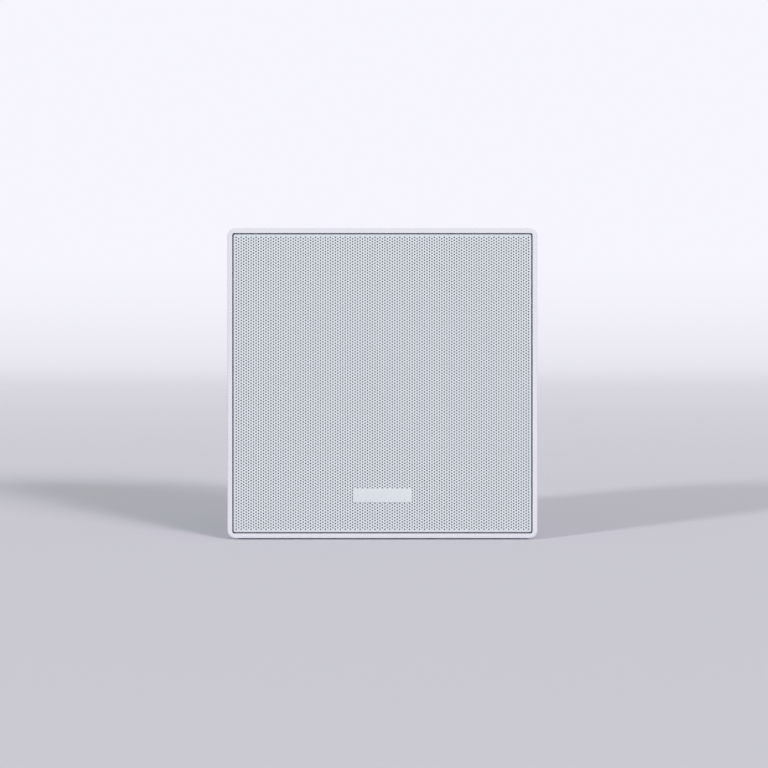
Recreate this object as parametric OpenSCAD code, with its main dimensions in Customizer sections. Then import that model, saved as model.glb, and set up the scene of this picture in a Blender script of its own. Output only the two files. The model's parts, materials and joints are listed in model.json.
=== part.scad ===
// Commercial two-way loudspeaker: a square moulded cabinet, 8 inch coaxial driver,
// two ports and a perforated steel grille over the whole front.
// The front faces -Y, up is +Z, and the origin lies under the middle of the body on the floor.

/* [Body] */
// Width and height of the square body
body_w = 325; // [310:1:345]
// Depth from the rim to the back
body_d = 250; // [238:1:280]
// Radius of the body's four long edges
corner_r = 8.5; // [7.5:0.5:10]
// Width of the rim that shows round the grille
rim = 5; // [4:0.25:6]
// Rounding of the rim's outer front edge
edge_r = 1.5; // [0.5:0.25:2.5]
// Wall of both mouldings
wall = 4; // [3:0.25:5]
// Depth of the front moulding, from the rim to the seam
frame_d = 40; // [36:1:50]
// Depth of the baffle behind the rim
baffle_recess = 18; // [17:0.5:22]
// Thickness of the baffle
baffle_t = 6; // [5:0.5:8]
// How far each side draws in towards the back
taper = 18; // [10:1:22]
// Length of the tapered part
taper_l = 80; // [65:5:90]
// Rounding of the back edges
back_r = 18; // [12:1:24]
// Height that the feet stand proud of the bottom
foot_proud = 1.5; // [1:0.25:3]
// Diameter of a foot
foot_d = 18; // [12:1:20]

/* [Joint of the two mouldings] */
// Thickness of the tongue
tongue_t = 4.2; // [3:0.1:5]
// Thickness of the flat gasket between tongue and baffle
seal_t = 2; // [1:0.25:3]
// Bevel of both mouldings' outer edge at the seam
seam_v = 0.6; // [0.3:0.1:1]
// Diameter of the long screws that hold the mouldings together
case_screw_d = 4; // [3.5:0.25:4.5]
// Length of those screws
case_screw_l = 32; // [24:1:40]
// Distance of those screws from the body's side
case_screw_in = 15.5; // [15:0.25:17]
// Distance of those screws from the middle of a side
case_screw_off = 60; // [50:1:64]

/* [Grille] */
// Radius of the corners of the opening for the grille
open_r = 2.1; // [1.8:0.1:3]
// Clearance between the grille and the rim
grille_gap = 1.1; // [0.7:0.1:1.6]
// Thickness of the steel sheet
grille_t = 1; // [0.8:0.1:1.2]
// How far the grille sits behind the rim
grille_recess = 1.5; // [1.5:0.25:2.5]
// Depth of the folded edges, over all
grille_fold = 10; // [8:0.5:11]
// Pitch of the holes, coarser than in the real sheet
perf_pitch = 15; // [14.5:0.5:24]
// Diameter of the holes
perf_hole_d = 8.6; // [5:0.2:9]
// Plain margin round the holes
perf_margin = 7; // [6:0.5:14]
// Thickness of the cloth behind the sheet
scrim_t = 0.8; // [0.5:0.1:1]
// Width of the bare badge plate
badge_w = 62; // [50:1:70]
// Height of the badge plate
badge_h = 14.8; // [10:0.2:18]
// Thickness of the badge plate
badge_t = 1.4; // [0.8:0.1:1.4]
// Height of the badge's middle above the body's lower edge
badge_up = 44.9; // [35:0.5:60]
// Diameter of a grille magnet
magnet_d = 8; // [6:0.5:9]
// Thickness of a grille magnet
magnet_t = 3; // [2.5:0.25:4]
// Distance of a magnet post from the body's side
post_in = 17.5; // [17:0.25:19]

/* [Woofer] */
// Diameter of the woofer's flange
woofer_d = 212; // [208:1:218]
// Height of the woofer's axis above the body's middle
woofer_up = 14; // [8:1:18]
// Diameter of the woofer's hole in the baffle
cutout_d = 186; // [185:0.5:188]
// Thickness of the flange
flange_t = 1.5; // [1.2:0.1:2.5]
// Thickness of the foam ring under the flange
flange_seal_t = 1.5; // [1:0.25:2]
// Diameter of the circle of the woofer's screws
woofer_pcd = 199; // [197:0.5:200]
// Travel of the cone each way
stroke = 5; // [3:0.5:5]
// Diameter of the braided leads to the voice coil
tinsel_d = 1.2; // [0.8:0.1:1.6]
// Inner diameter of the voice coil's former
former_d = 50.4; // [49:0.2:51]
// Wall of the former
former_t = 0.3; // [0.2:0.05:0.4]
// Thickness of the winding on the former
winding_t = 0.7; // [0.4:0.05:0.9]
// Length of the winding
winding_l = 14; // [10:0.5:16]
// Clearance between the moving coil and the steel
gap_clear = 0.6; // [0.4:0.05:0.8]
// Depth of the magnet's front plate behind the baffle's front
plate_depth = 66; // [64:1:70]
// Thickness of the front plate
plate_t = 8; // [6:0.5:9]
// Thickness of the ferrite ring
ferrite_t = 18; // [15:1:20]
// Diameter of the ferrite ring
ferrite_d = 134; // [125:1:140]
// Thickness of the yoke's back plate
yoke_t = 8; // [6:0.5:10]
// Diameter of the steel plates
steel_d = 120; // [114:1:122]

/* [Tweeter] */
// Diameter of the post that carries the tweeter
post_d = 20; // [16:1:22]
// Diameter of the post's threaded end
stud_d = 10; // [8:0.5:12]
// Diameter of the tweeter's steel cup
cup_d = 40; // [38:0.5:42]
// Diameter of the dome
dome_d = 26.2; // [25:0.1:26.4]
// Height of the dome
dome_h = 6; // [4:0.5:7]
// Diameter of the waveguide's mouth
mouth_d = 66; // [58:1:70]

/* [Ports] */
// Inner diameter of a port
port_d = 50; // [44:1:52]
// Wall of a port tube
port_wall = 2.5; // [2:0.25:3]
// Length of a port tube
port_l = 118; // [90:1:125]
// Distance of a port's middle from the body's side
port_in = 50.5; // [48:0.5:52]
// Height of the ports above the body's lower edge
port_up = 52.5; // [51:0.5:55]

/* [Rear panel] */
// Width of the recess for the connections
recess_w = 150; // [150:1:160]
// Height of the recess
recess_h = 90; // [90:1:96]
// Depth of the recess
recess_depth = 22; // [20:0.5:26]
// Height of the recess's middle above the body's lower edge
recess_up = 93.5; // [88:0.5:98]
// Bevel of the recess's outer edge
recess_v = 1.2; // [0.6:0.2:2]
// Thickness of the steel input panel
panel_t = 1.5; // [1.2:0.1:2]
// Length of the spacers between panel and circuit board
spacer_l = 12; // [11:0.5:16]
// Thickness of the circuit board
board_t = 1.6; // [1.2:0.1:2]
// Diameter of the selector knob
knob_d = 24; // [20:0.5:26]
// Length of the selector knob
knob_l = 13; // [11:0.5:14]

/* [Fixings] */
// Spacing across of the bracket's threaded inserts
bracket_x = 127; // [110:1:140]
// Spacing up and down of the bracket's threaded inserts
bracket_z = 63.5; // [50:0.5:70]
// Height of the inserts' middle above the body's lower edge
bracket_up = 223.5; // [215:0.5:230]
// Bore of a threaded insert
insert_bore = 5; // [4:0.5:6]
// Outer diameter of a threaded insert
insert_d = 9; // [8.5:0.5:10]
// Length of a threaded insert
insert_l = 14; // [10:0.5:15]
// Bore of a pivot insert in the side
pivot_bore = 6.8; // [5:0.2:8]
// Outer diameter of a pivot insert
pivot_d = 12; // [11:0.5:13]

/* [Hidden] */
$fn = 48;
white = [0.9, 0.9, 0.92];
black = [0.08, 0.08, 0.09];
steel = [0.62, 0.63, 0.65];
brass = [0.78, 0.63, 0.33];
copper = [0.72, 0.4, 0.22];
foam = [0.2, 0.2, 0.21];

// Planes from front to back, and heights
front_y = -body_d / 2;
back_y = body_d / 2;
mid_z = foot_proud + body_w / 2;
seam_y = front_y + frame_d;
baffle_y = front_y + baffle_recess;
baffle_back = baffle_y + baffle_t;
grille_y = front_y + grille_recess;
ledge_y = grille_y + grille_fold;
scrim_y = grille_y + grille_t;
magnet_y = scrim_y + scrim_t;
taper_y = back_y - taper_l;
inner_w = body_w - 2 * wall;

// Front opening, grille and what holds it
open_w = body_w - 2 * rim;
ledge_w = 4;
grille_w = open_w - 2 * grille_gap;
grille_r = open_r - grille_gap;
scrim_w = grille_w - 2 * grille_t - 4;
post_w = 14;
magnet_proud = 0.5;
magnet_off = body_w / 2 - post_in;
magnet_spots = [for (x = [-1, 1], z = [-1, 1]) [x * magnet_off, mid_z + z * magnet_off]];

// Tongue, seal and the screws of the two mouldings
fit = 0.3;
screw_fit = 0.1;
tongue_w = inner_w - 2 * fit;
tongue_in = tongue_w - 2 * tongue_t;
tongue_y = baffle_back + seal_t;
tongue_r = corner_r - wall - fit;
root_l = 8;
web_t = 3;
case_boss_d = 11;
case_boss_l = 50;
case_off = body_w / 2 - case_screw_in;
case_spots = [for (a = [0, 90, 180, 270], s = [-1, 1])
  [case_off * cos(a) - s * case_screw_off * sin(a), mid_z + case_off * sin(a) + s * case_screw_off * cos(a)]];

// Woofer, measured back from the baffle's front
woofer_z = mid_z + woofer_up;
flange_front = -flange_seal_t - flange_t;
woofer_screw_d = 4;
woofer_screw_l = 14;
basket_r = cutout_d / 2 - 1;
basket_wall = 3.5;
ledge_depth = plate_depth - 20;
neck_r = steel_d / 2;
former_r = former_d / 2;
former_out = former_r + former_t;
winding_out = former_out + winding_t;
pole_r = former_r - gap_clear;
plate_hole_r = winding_out + gap_clear + 0.2;
ferrite_depth = plate_depth + plate_t;
yoke_depth = ferrite_depth + ferrite_t;
yoke_back = yoke_depth + yoke_t;
coil_mid = plate_depth + plate_t / 2;
coil_from = coil_mid - winding_l / 2;
roll_r = stroke + 1;
sheet_t = 0.7;
edge_out = basket_r - basket_wall - 2 * roll_r;
edge_flat = 5;
neck_depth = 30;
neck_l = 5;
cone_t = 1;
cone_back = [0.4 * cone_t, 1.2 * cone_t];
cone_reach = edge_out - edge_flat - former_out - cone_t;
spider_depth = ledge_depth - sheet_t / 2;
spider_in = former_out;
spider_out = neck_r + 2.5;

// Tweeter, measured back from the baffle's front
cup_depth = 14;
cup_h = 12;
cup_floor = 3;
cup_rim = cup_depth - cup_h;
coil_gap = 0.5;
tweeter_coil_t = 0.4;
tweeter_pole_r = dome_d / 2 - coil_gap;
tweeter_hole_r = dome_d / 2 + tweeter_coil_t + coil_gap;
tweeter_plate_t = 3;
lead_bore = 2;
shoulder_t = 4;
nut_t = 8;
nut_flat = 1.7 * stud_d;

// Ports
port_off = body_w / 2 - port_in;
port_z = foot_proud + port_up;
port_out = port_d / 2 + port_wall;
port_lip = 6;
port_lip_t = 3;

// Recess, input panel and circuit board
recess_z = foot_proud + recess_up;
recess_r = 6;
floor_y = back_y - recess_depth;
aperture_w = recess_w - 20;
aperture_h = recess_h - 16;
panel_w = recess_w - 4;
panel_h = recess_h - 4;
panel_seal_t = 1.5;
panel_y = floor_y + panel_seal_t;
panel_face = panel_y + panel_t;
panel_screw_d = 3;
panel_screw_l = 12;
panel_screw_x = (aperture_w + panel_w) / 4;
panel_spots = [for (x = [-1, 1], z = [-1, 0, 1]) [x * panel_screw_x, recess_z + z * 32]];
board_w = 120;
board_h = 64;
board_y = panel_y - spacer_l - board_t;
spacer_spots = [for (x = [-1, 1], z = [-1, 1]) [x * 55, recess_z + z * 28]];
header_x = -34;
header_w = 26;
header_h = 12;
header_depth = 10;
plug_out = 11;
poles = 4;
pole_pitch = 5.08;
selector_x = 36;
switch_d = 24;
bush_d = 9;
bush_l = 6;
shaft_d = 6;

// Parts on the board
core_w = 57;
core_h = 48;
core_t = 20;
core_leg = 9.5;
core_x = -29;
winding_y = board_y - core_t - 2 * core_leg + 2;
strap_t = 1.2;
choke_d = 32;
choke_l = 22;
choke_x = 22;
choke_z = recess_z + 14;
tweeter_choke_d = 19;
tweeter_choke_l = 14;
tweeter_choke_x = 48;
tweeter_choke_z = recess_z + 9;
cap_d = 12;
cap_l = 34;
cap_x = 6;
resistor_l = 22;

// Braided leads from the terminals to the back of the cone
lug_y = baffle_y + ledge_depth - 1;
tinsel_x = neck_r + 11.5;
tinsel_bend = 5;
tinsel_y = lug_y - 2 * tinsel_bend;
tinsel_r = 46;

// Leads from the driver to the board
lug_x = neck_r + 14;
lead_z = recess_z + board_h / 2 - 5;
lead_bend = 8;
woofer_lead_d = 3.2;
woofer_lead_x = 48;
woofer_lead_y = 30;
tweeter_lead_d = 3;
tweeter_lead_x = 40;
tweeter_lead_y = 40;
function unit(v) = v / norm(v);

// Threaded inserts and side pivots
insert_z = foot_proud + bracket_up;
insert_spots = concat([for (x = [-1, 1], z = [-1, 1]) [x * bracket_x / 2, insert_z + z * bracket_z / 2]],
  [[0, insert_z + bracket_z / 2]]);
insert_boss_d = insert_d + 7;
pivot_y = -20;
pivot_cap_d = 16;
pivot_cap_t = 2;
pivot_l = 16;
pivot_boss_d = pivot_d + 8;

// Lining and feet
lining_t = 12;
lining_l = 80;
lining_y = -42;
lining_h = 220;
foot_sink = 1.5;
foot_x = body_w / 2 - 37.5;
front_foot_y = front_y + frame_d / 2;
back_foot_y = taper_y - foot_d / 2 - 6;
foot_spots = [for (x = [-1, 1], y = [front_foot_y, back_foot_y]) [x * foot_x, y]];

// A flat shape drawn in X and Z, given a depth from y0 to y1
module slab(y0, y1) translate([0, y1, 0]) rotate([90, 0, 0]) linear_extrude(y1 - y0) children();

// A round bar along Y
module rod(p, y0, y1, d) translate([p[0], y1, p[1]]) rotate([90, 0, 0]) cylinder(d = d, h = y1 - y0);

// A shape turned about the woofer's axis, drawn as radius and depth behind the baffle's front
module turned() translate([0, baffle_y, woofer_z]) rotate([-90, 0, 0]) rotate_extrude($fn = 96) children();

module round_rect(w, h, r) {
  square([w - 2 * r, h], center = true);
  square([w, h - 2 * r], center = true);
  for (x = [-1, 1], y = [-1, 1]) translate([x * (w / 2 - r), y * (h / 2 - r)]) circle(r);
}

module mid_square(w, r) translate([0, mid_z]) round_rect(w, w, r);

module mid_box(w, y0, y1) slab(y0, y1) translate([0, mid_z]) square(w, center = true);

// A cross-head screw that points along +Z with its head's seat at z = 0
module screw(d, l) difference() {
  rotate_extrude() polygon([[0, -0.6 * d], [0.6 * d, -0.6 * d], [0.95 * d, -0.25 * d], [0.95 * d, 0],
    [d / 2, 0], [d / 2, l - d / 2], [0, l]]);
  for (a = [0, 90]) rotate(a) translate([0, 0, -0.6 * d]) cube([1.1 * d, 0.2 * d, 0.6 * d], center = true);
}

module ring(r_in, r_out, from, to) turned() translate([r_in, from]) square([r_out - r_in, to - from]);

// A half roll of thin sheet between two radii, bulging forward
module half_roll(r, rise, t, side) intersection() {
  translate([r, 0]) difference() {
    circle(rise + t / 2);
    circle(rise - t / 2);
  }
  translate([r - rise - t, side > 0 ? 0 : -rise - t]) square([2 * (rise + t), rise + t]);
}

// The front moulding's outer form, with its front edge rounded in three steps
module front_block() hull() {
  slab(front_y + edge_r, seam_y - seam_v) corners(0);
  slab(front_y + edge_r, seam_y) corners(seam_v);
  for (a = [0, 30, 60]) slab(front_y + edge_r * (1 - cos(a)), front_y + edge_r) corners(edge_r * (1 - sin(a)));
}

module corners(inset) for (x = [-1, 1], z = [-1, 1])
  translate([x * (body_w / 2 - corner_r), mid_z + z * (body_w / 2 - corner_r)]) circle(corner_r - inset);

// The front moulding: rim, ledge for the grille, baffle and skirt in one piece
module front_frame() color(white) difference() {
  union() {
    difference() {
      front_block();
      slab(front_y - 1, ledge_y) mid_square(open_w, open_r);
      mid_box(open_w - 2 * ledge_w, ledge_y - 1, baffle_y);
      slab(baffle_back, seam_y + 1) mid_square(inner_w, corner_r - wall);
    }
    for (p = magnet_spots) rod(p, magnet_y + magnet_proud, baffle_y, post_w);
    intersection() {
      mid_box(tongue_in - 2, baffle_y + 1, baffle_back + 8);
      union() {
        rod([0, woofer_z], baffle_y + 1, baffle_back + 8, cutout_d + 24);
        for (x = [-1, 1]) rod([x * port_off, port_z], baffle_y + 1, baffle_back + 8, 2 * port_out + 8);
        slab(baffle_y + 1, baffle_back + 8) translate([0, woofer_z]) for (a = [0, 45, 90, 135]) rotate(a)
          square([2 * body_w, 3], center = true);
      }
    }
  }
  rod([0, woofer_z], baffle_y - 1, baffle_back + 9, cutout_d);
  for (x = [-1, 1]) rod([x * port_off, port_z], baffle_y - 1, baffle_back + 9, 2 * (port_out + fit));
  for (p = case_spots) rod(p, baffle_y - 1, baffle_back + 1, case_screw_d + 2 * screw_fit);
  for (p = magnet_spots) rod(p, magnet_y, magnet_y + magnet_t, magnet_d);
  woofer_screw_holes(woofer_screw_d + 2 * screw_fit, -1, woofer_screw_l);
  foot_recesses();
}

module woofer_screw_holes(d, from, to) for (k = [0:7])
  translate([0, baffle_y + from, woofer_z]) rotate([-90, 0, 0]) rotate(45 * k + 22.5)
    translate([woofer_pcd / 2, 0, 0]) cylinder(d = d, h = to - from);

module foot_recesses() for (p = foot_spots)
  translate([p[0], p[1], foot_proud - 1]) cylinder(d = foot_d, h = foot_sink + 1);

// The tub's outer form, or its cavity when drawn smaller by the wall
module tub(inset, from, bevel) hull() {
  slab(from, taper_y) corners(inset + bevel);
  slab(from + bevel, taper_y) corners(inset);
  for (x = [-1, 1], z = [-1, 1]) {
    reach = body_w / 2 - taper - back_r;
    translate([x * reach, back_y - back_r, mid_z + z * reach]) sphere(back_r - inset);
  }
}

// The rear moulding: a tub with its tongue, ribs, screw bosses and the recess for the connections
module rear_cabinet() color(white) difference() {
  union() {
    difference() {
      tub(0, seam_y, seam_v);
      tub(wall, seam_y - 1, 0);
    }
    difference() {
      union() {
        slab(tongue_y, seam_y + root_l) mid_square(tongue_w, tongue_r);
        slab(seam_y, seam_y + root_l) mid_square(inner_w + wall, corner_r - wall / 2);
      }
      mid_box(tongue_in, tongue_y - 1, seam_y + root_l + 1);
    }
    for (p = case_spots) case_boss(p);
    slab(floor_y - wall, back_y - wall / 2) translate([0, recess_z])
      round_rect(recess_w + 2 * wall, recess_h + 2 * wall, recess_r + wall);
    for (p = panel_spots) rod(p, floor_y - panel_screw_l - 2, floor_y - 1, panel_screw_d + 4);
    for (p = insert_spots) rod(p, back_y - insert_l - 3, back_y - wall / 2, insert_boss_d);
    slab(back_y - wall - 9, back_y - wall / 2) back_ribs();
    for (x = [-1, 1]) translate([x * (body_w / 2 - wall / 2), pivot_y, mid_z]) rotate([0, -90 * x, 0])
      cylinder(d = pivot_boss_d, h = pivot_cap_t + pivot_l + 3 - wall / 2);
  }
  slab(floor_y, back_y + 1) translate([0, recess_z]) round_rect(recess_w, recess_h, recess_r);
  recess_bevel();
  slab(floor_y - wall - 1, floor_y + 1) translate([0, recess_z])
    square([aperture_w, aperture_h], center = true);
  for (p = panel_spots) rod(p, panel_face - panel_screw_l, floor_y + 1, panel_screw_d + 2 * screw_fit);
  for (p = insert_spots) rod(p, back_y - insert_l, back_y + 1, insert_d);
  for (p = case_spots) rod(p, baffle_back - 1, baffle_y + case_screw_l, case_screw_d + 2 * screw_fit);
  for (x = [-1, 1]) translate([x * body_w / 2, pivot_y, mid_z]) rotate([0, -90 * x, 0]) {
    translate([0, 0, -1]) cylinder(d = pivot_cap_d + 2 * fit, h = pivot_cap_t + 1);
    cylinder(d = pivot_d, h = pivot_cap_t + pivot_l);
  }
  foot_recesses();
}

// The sloping cut round the recess, from just inside it to just behind the back
module recess_bevel() hull() for (grow = [-0.5, recess_v + 1]) {
  y = back_y - recess_v + grow;
  slab(y - 0.01, y) for (x = [-1, 1], z = [-1, 1])
    translate([x * (recess_w / 2 - recess_r), recess_z + z * (recess_h / 2 - recess_r)])
      circle(recess_r + grow, $fn = 32);
}

// A screw boss with its web, which ends in the tongue and behind the seam in the wall
module case_boss(p) {
  off = [p[0], p[1] - mid_z];
  out = abs(off[0]) > abs(off[1]) ? [sign(off[0]), 0] : [0, sign(off[1])];
  across = [abs(out[1]), abs(out[0])];
  rod(p, baffle_back, baffle_back + case_boss_l, case_boss_d);
  for (web = [[tongue_y, wall + fit + tongue_t / 2], [seam_y + 1, wall / 2]]) {
    reach = case_screw_in - web[1];
    slab(web[0], baffle_back + case_boss_l) translate(p + out * reach / 2)
      square([for (i = [0, 1]) abs(out[i]) * reach + across[i] * web_t], center = true);
  }
}

module back_ribs() {
  w = body_w - 2 * taper - 2 * back_r;
  top = mid_z + w / 2;
  base = recess_z + recess_h / 2;
  for (x = [-1, 0, 1]) translate([x * bracket_x / 2 - 1.5, base]) square([3, top - base]);
  for (z = [-1, 1]) translate([-w / 2, insert_z + z * bracket_z / 2 - 1.5]) square([w, 3]);
}

module cabinet_gasket() color(foam) difference() {
  slab(baffle_back, tongue_y) mid_square(tongue_w, tongue_r);
  mid_box(tongue_in, baffle_back - 1, tongue_y + 1);
}

module cabinet_screws() color(black) for (p = case_spots)
  translate([p[0], baffle_y, p[1]]) rotate([-90, 0, 0]) screw(case_screw_d, case_screw_l - 2);

// The grille: one perforated steel sheet with four folded edges
module perforation() {
  column = perf_pitch * sqrt(3) / 2;
  half = grille_w / 2 - perf_margin - perf_hole_d / 2;
  columns = floor(half / column);
  for (i = [-columns:columns]) {
    odd = abs(i) % 2;
    rows = floor(half / perf_pitch - odd / 2);
    for (j = [-rows - odd:rows])
      translate([i * column, mid_z + (j + odd / 2) * perf_pitch]) circle(d = perf_hole_d, $fn = 24);
  }
}

module grille() color(white) {
  slab(grille_y, scrim_y) difference() {
    mid_square(grille_w, grille_r);
    perforation();
  }
  difference() {
    slab(scrim_y, ledge_y) mid_square(grille_w, grille_r);
    mid_box(grille_w - 2 * grille_t, scrim_y - 1, ledge_y + 1);
  }
}

module grille_scrim() color(black) slab(scrim_y, magnet_y) mid_square(scrim_w, 1);

module badge() color(white) slab(grille_y - badge_t, grille_y) translate([0, foot_proud + badge_up])
  round_rect(badge_w, badge_h, 0.8);

module grille_magnets() color(steel) for (p = magnet_spots) rod(p, magnet_y, magnet_y + magnet_t, magnet_d);

// The woofer's cast frame: flange, six spokes, seat for the spider and base for the magnet
module woofer_frame() color(black) difference() {
  turned() polygon([[woofer_d / 2, flange_front], [woofer_d / 2, -flange_seal_t], [basket_r, -flange_seal_t],
    [basket_r, 6], [neck_r + 6, ledge_depth - 2], [neck_r + 6, ledge_depth + 10], [neck_r, ledge_depth + 10],
    [neck_r, plate_depth], [plate_hole_r + 3, plate_depth], [plate_hole_r + 3, plate_depth - 4],
    [neck_r - 4, plate_depth - 4], [neck_r - 4, ledge_depth], [neck_r + 3, ledge_depth],
    [neck_r + 3, ledge_depth - 3], [basket_r - basket_wall, 5], [basket_r - basket_wall, flange_front]]);
  for (k = [0:5]) translate([0, baffle_y + 9, woofer_z]) rotate([-90, 0, 0]) rotate(60 * k)
    linear_extrude(ledge_depth - 14)
      polygon([[0, 0], [basket_r + 9, -0.4 * basket_r], [basket_r + 9, 0.4 * basket_r]]);
  woofer_screw_holes(woofer_screw_d + 2 * screw_fit, flange_front - 1, 0);
}

module woofer_gasket() color(foam) difference() {
  ring(basket_r + 1, woofer_d / 2, -flange_seal_t, 0);
  woofer_screw_holes(woofer_screw_d + 2 * screw_fit, -flange_seal_t - 1, 1);
}

module woofer_screws() color(black) for (k = [0:7])
  translate([0, baffle_y + flange_front, woofer_z]) rotate([-90, 0, 0]) rotate(45 * k + 22.5)
    translate([woofer_pcd / 2, 0, 0]) screw(woofer_screw_d, woofer_screw_l);

module woofer_top_plate() color(steel) ring(plate_hole_r, steel_d / 2, plate_depth, ferrite_depth);

module woofer_magnet() color(black) ring(plate_hole_r + 4, ferrite_d / 2, ferrite_depth, yoke_depth);

module woofer_yoke() color(steel) turned() polygon([
  [stud_d / 2 + screw_fit, plate_depth], [pole_r, plate_depth], [pole_r, yoke_depth],
  [steel_d / 2, yoke_depth], [steel_d / 2, yoke_back], [stud_d / 2 + screw_fit, yoke_back]]);

// The cone's front line falls from its flat edge to the neck in a slow curve
function cone_depth(f) = flange_front + (neck_depth - flange_front) * (0.8 * f + 0.2 * f * f);
function cone_line(n) = [for (i = [0:n])
  let (f = i / n) [edge_out - edge_flat - f * cone_reach, cone_depth(f)]];

module woofer_cone() color(black) turned() {
  line = cone_line(6);
  polygon(concat([[edge_out, flange_front]], line,
    [[former_out, neck_depth], [former_out, neck_depth + neck_l],
    [former_out + cone_t, neck_depth + neck_l]],
    [for (i = [6:-1:0]) line[i] + cone_back], [[edge_out, flange_front + cone_t]]));
}

module woofer_surround() color(black) turned() translate([0, flange_front - sheet_t / 2]) {
  translate([edge_out - edge_flat, -sheet_t / 2]) square([edge_flat, sheet_t]);
  translate([edge_out + 2 * roll_r, -sheet_t / 2]) square([6, sheet_t]);
  half_roll(edge_out + roll_r, roll_r, sheet_t, -1);
}

module woofer_spider() color("khaki") turned() translate([0, spider_depth]) {
  waves = 6;
  flat = 3.5;
  r = (neck_r - 6 - spider_in - flat) / waves / 2;
  translate([spider_in, -sheet_t / 2]) square([flat, sheet_t]);
  translate([neck_r - 6, -sheet_t / 2]) square([spider_out - neck_r + 6, sheet_t]);
  for (i = [0:waves - 1]) half_roll(spider_in + flat + r * (2 * i + 1), r, sheet_t, i % 2 == 0 ? 1 : -1);
}

module voice_coil_former() color("tan") ring(former_r, former_out, neck_depth - 1, coil_from + winding_l + 1);

module voice_coil_winding() color(copper) ring(former_out, winding_out, coil_from, coil_from + winding_l);

module dust_ring() color(black) ring(post_d / 2 + 2, former_r, neck_depth + 1, neck_depth + 2.5);

// A strip on the frame's neck with the woofer's two soldering lugs
module woofer_terminals() {
  x0 = neck_r + 6;
  color("sienna") translate([x0, lug_y, woofer_z - 10]) cube([2.5, 10, 20]);
  color(brass) for (z = [-1, 1]) translate([x0 + 2.5, lug_y + 3, woofer_z + z * 5 - 2]) cube([8, 0.8, 4]);
}

// Two braided leads that run from the lugs through a window of the frame and end on the cone's back
module tinsel_leads() color(copper) {
  f = (edge_out - edge_flat + cone_back[0] - tinsel_r + tinsel_d / 2) / cone_reach;
  end_y = baffle_y + cone_depth(f) + cone_back[1] + screw_fit;
  for (z = [-1, 1]) translate([0, 0, woofer_z + z * 5])
    lead([[tinsel_x, lug_y + 3, 0], [tinsel_x, tinsel_y, 0], [tinsel_r, tinsel_y, 0],
      [tinsel_r, end_y, 0]], tinsel_d, tinsel_bend);
}

// The post stands on the pole and carries the tweeter in front of the cone
module tweeter_post() color(steel) turned() polygon([[lead_bore, cup_depth], [post_d / 2, cup_depth],
  [post_d / 2, plate_depth - shoulder_t], [post_d / 2 + 5, plate_depth - shoulder_t],
  [post_d / 2 + 5, plate_depth], [stud_d / 2, plate_depth], [stud_d / 2, yoke_back + nut_t + 2],
  [lead_bore, yoke_back + nut_t + 2]]);

module tweeter_nut() color(steel)
  translate([0, baffle_y + yoke_back, woofer_z]) rotate([-90, 0, 0]) difference() {
  cylinder(d = nut_flat / cos(30), h = nut_t, $fn = 6);
  translate([0, 0, -1]) cylinder(d = stud_d, h = nut_t + 2);
}

module tweeter_cup() color(steel) turned() polygon([[lead_bore, cup_depth], [cup_d / 2, cup_depth],
  [cup_d / 2, cup_rim], [tweeter_hole_r, cup_rim], [tweeter_hole_r, cup_depth - cup_floor],
  [lead_bore, cup_depth - cup_floor]]);

module tweeter_magnet() color(black)
  ring(lead_bore, tweeter_pole_r - 0.6, cup_rim + 1 + tweeter_plate_t, cup_depth - cup_floor);

module tweeter_plate() color(steel) ring(lead_bore, tweeter_pole_r, cup_rim + 1, cup_rim + 1 + tweeter_plate_t);

// A thin dome on a short tube that carries the coil
module tweeter_dome() color(steel) turned() {
  r = dome_d / 2;
  top = cup_rim - 1;
  ball = (r * r + dome_h * dome_h) / (2 * dome_h);
  intersection() {
    translate([0, top - dome_h + ball]) difference() {
      circle(ball, $fn = 96);
      circle(ball - 0.4, $fn = 96);
    }
    translate([0, top - dome_h - 1]) square([r, dome_h + 1]);
  }
  translate([r - 0.2, top - 0.3]) square([0.2, 4.3]);
}

module tweeter_coil() color(copper) ring(dome_d / 2, dome_d / 2 + tweeter_coil_t, cup_rim - 0.5, cup_rim + 4);

module tweeter_suspension() color(black) turned() {
  from = dome_d / 2 + tweeter_coil_t;
  t = 0.3;
  r = 1.4;
  translate([0, cup_rim - t / 2]) {
    translate([from, -t / 2]) square([0.5, t]);
    half_roll(from + 0.4 + r, r, t, -1);
    translate([from + 0.3 + 2 * r, -t / 2]) square([1.6, t]);
  }
}

// The waveguide grips the cup's rim and opens towards the grille
module tweeter_waveguide() color(black) turned() {
  r = cup_d / 2;
  mouth = mouth_d / 2;
  front = flange_front - 5.5;
  flare = [for (i = [0:5])
    let (f = i / 5) [r - 1 + (mouth - 2 - r) * f * f, cup_rim + (front - cup_rim) * f]];
  polygon(concat(flare, [[mouth, front], [mouth, front + 1.5], [r + 4, cup_rim - 1], [r + 2, cup_rim],
    [r + 2, cup_rim + 6], [r, cup_rim + 6], [r, cup_rim]]));
}

// A port tube with a flared mouth on the baffle and a rounded inner end
module port_tube(x) color(black)
  translate([x * port_off, baffle_y, port_z]) rotate([-90, 0, 0]) rotate_extrude()
  difference() {
    union() {
      translate([port_d / 2, 0]) square([port_wall, port_l]);
      translate([port_d / 2, -port_lip_t]) square([port_wall + port_lip, port_lip_t]);
      translate([port_d / 2 + port_wall / 2, port_l]) circle(port_wall / 2);
    }
    translate([port_d / 2 - 1, -port_lip_t - 1]) difference() {
      square(port_wall + 3);
      translate([port_wall + 3, port_wall + 3]) circle(port_wall + 2);
    }
  }

module port_tube_left() port_tube(-1);
module port_tube_right() port_tube(1);

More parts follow.
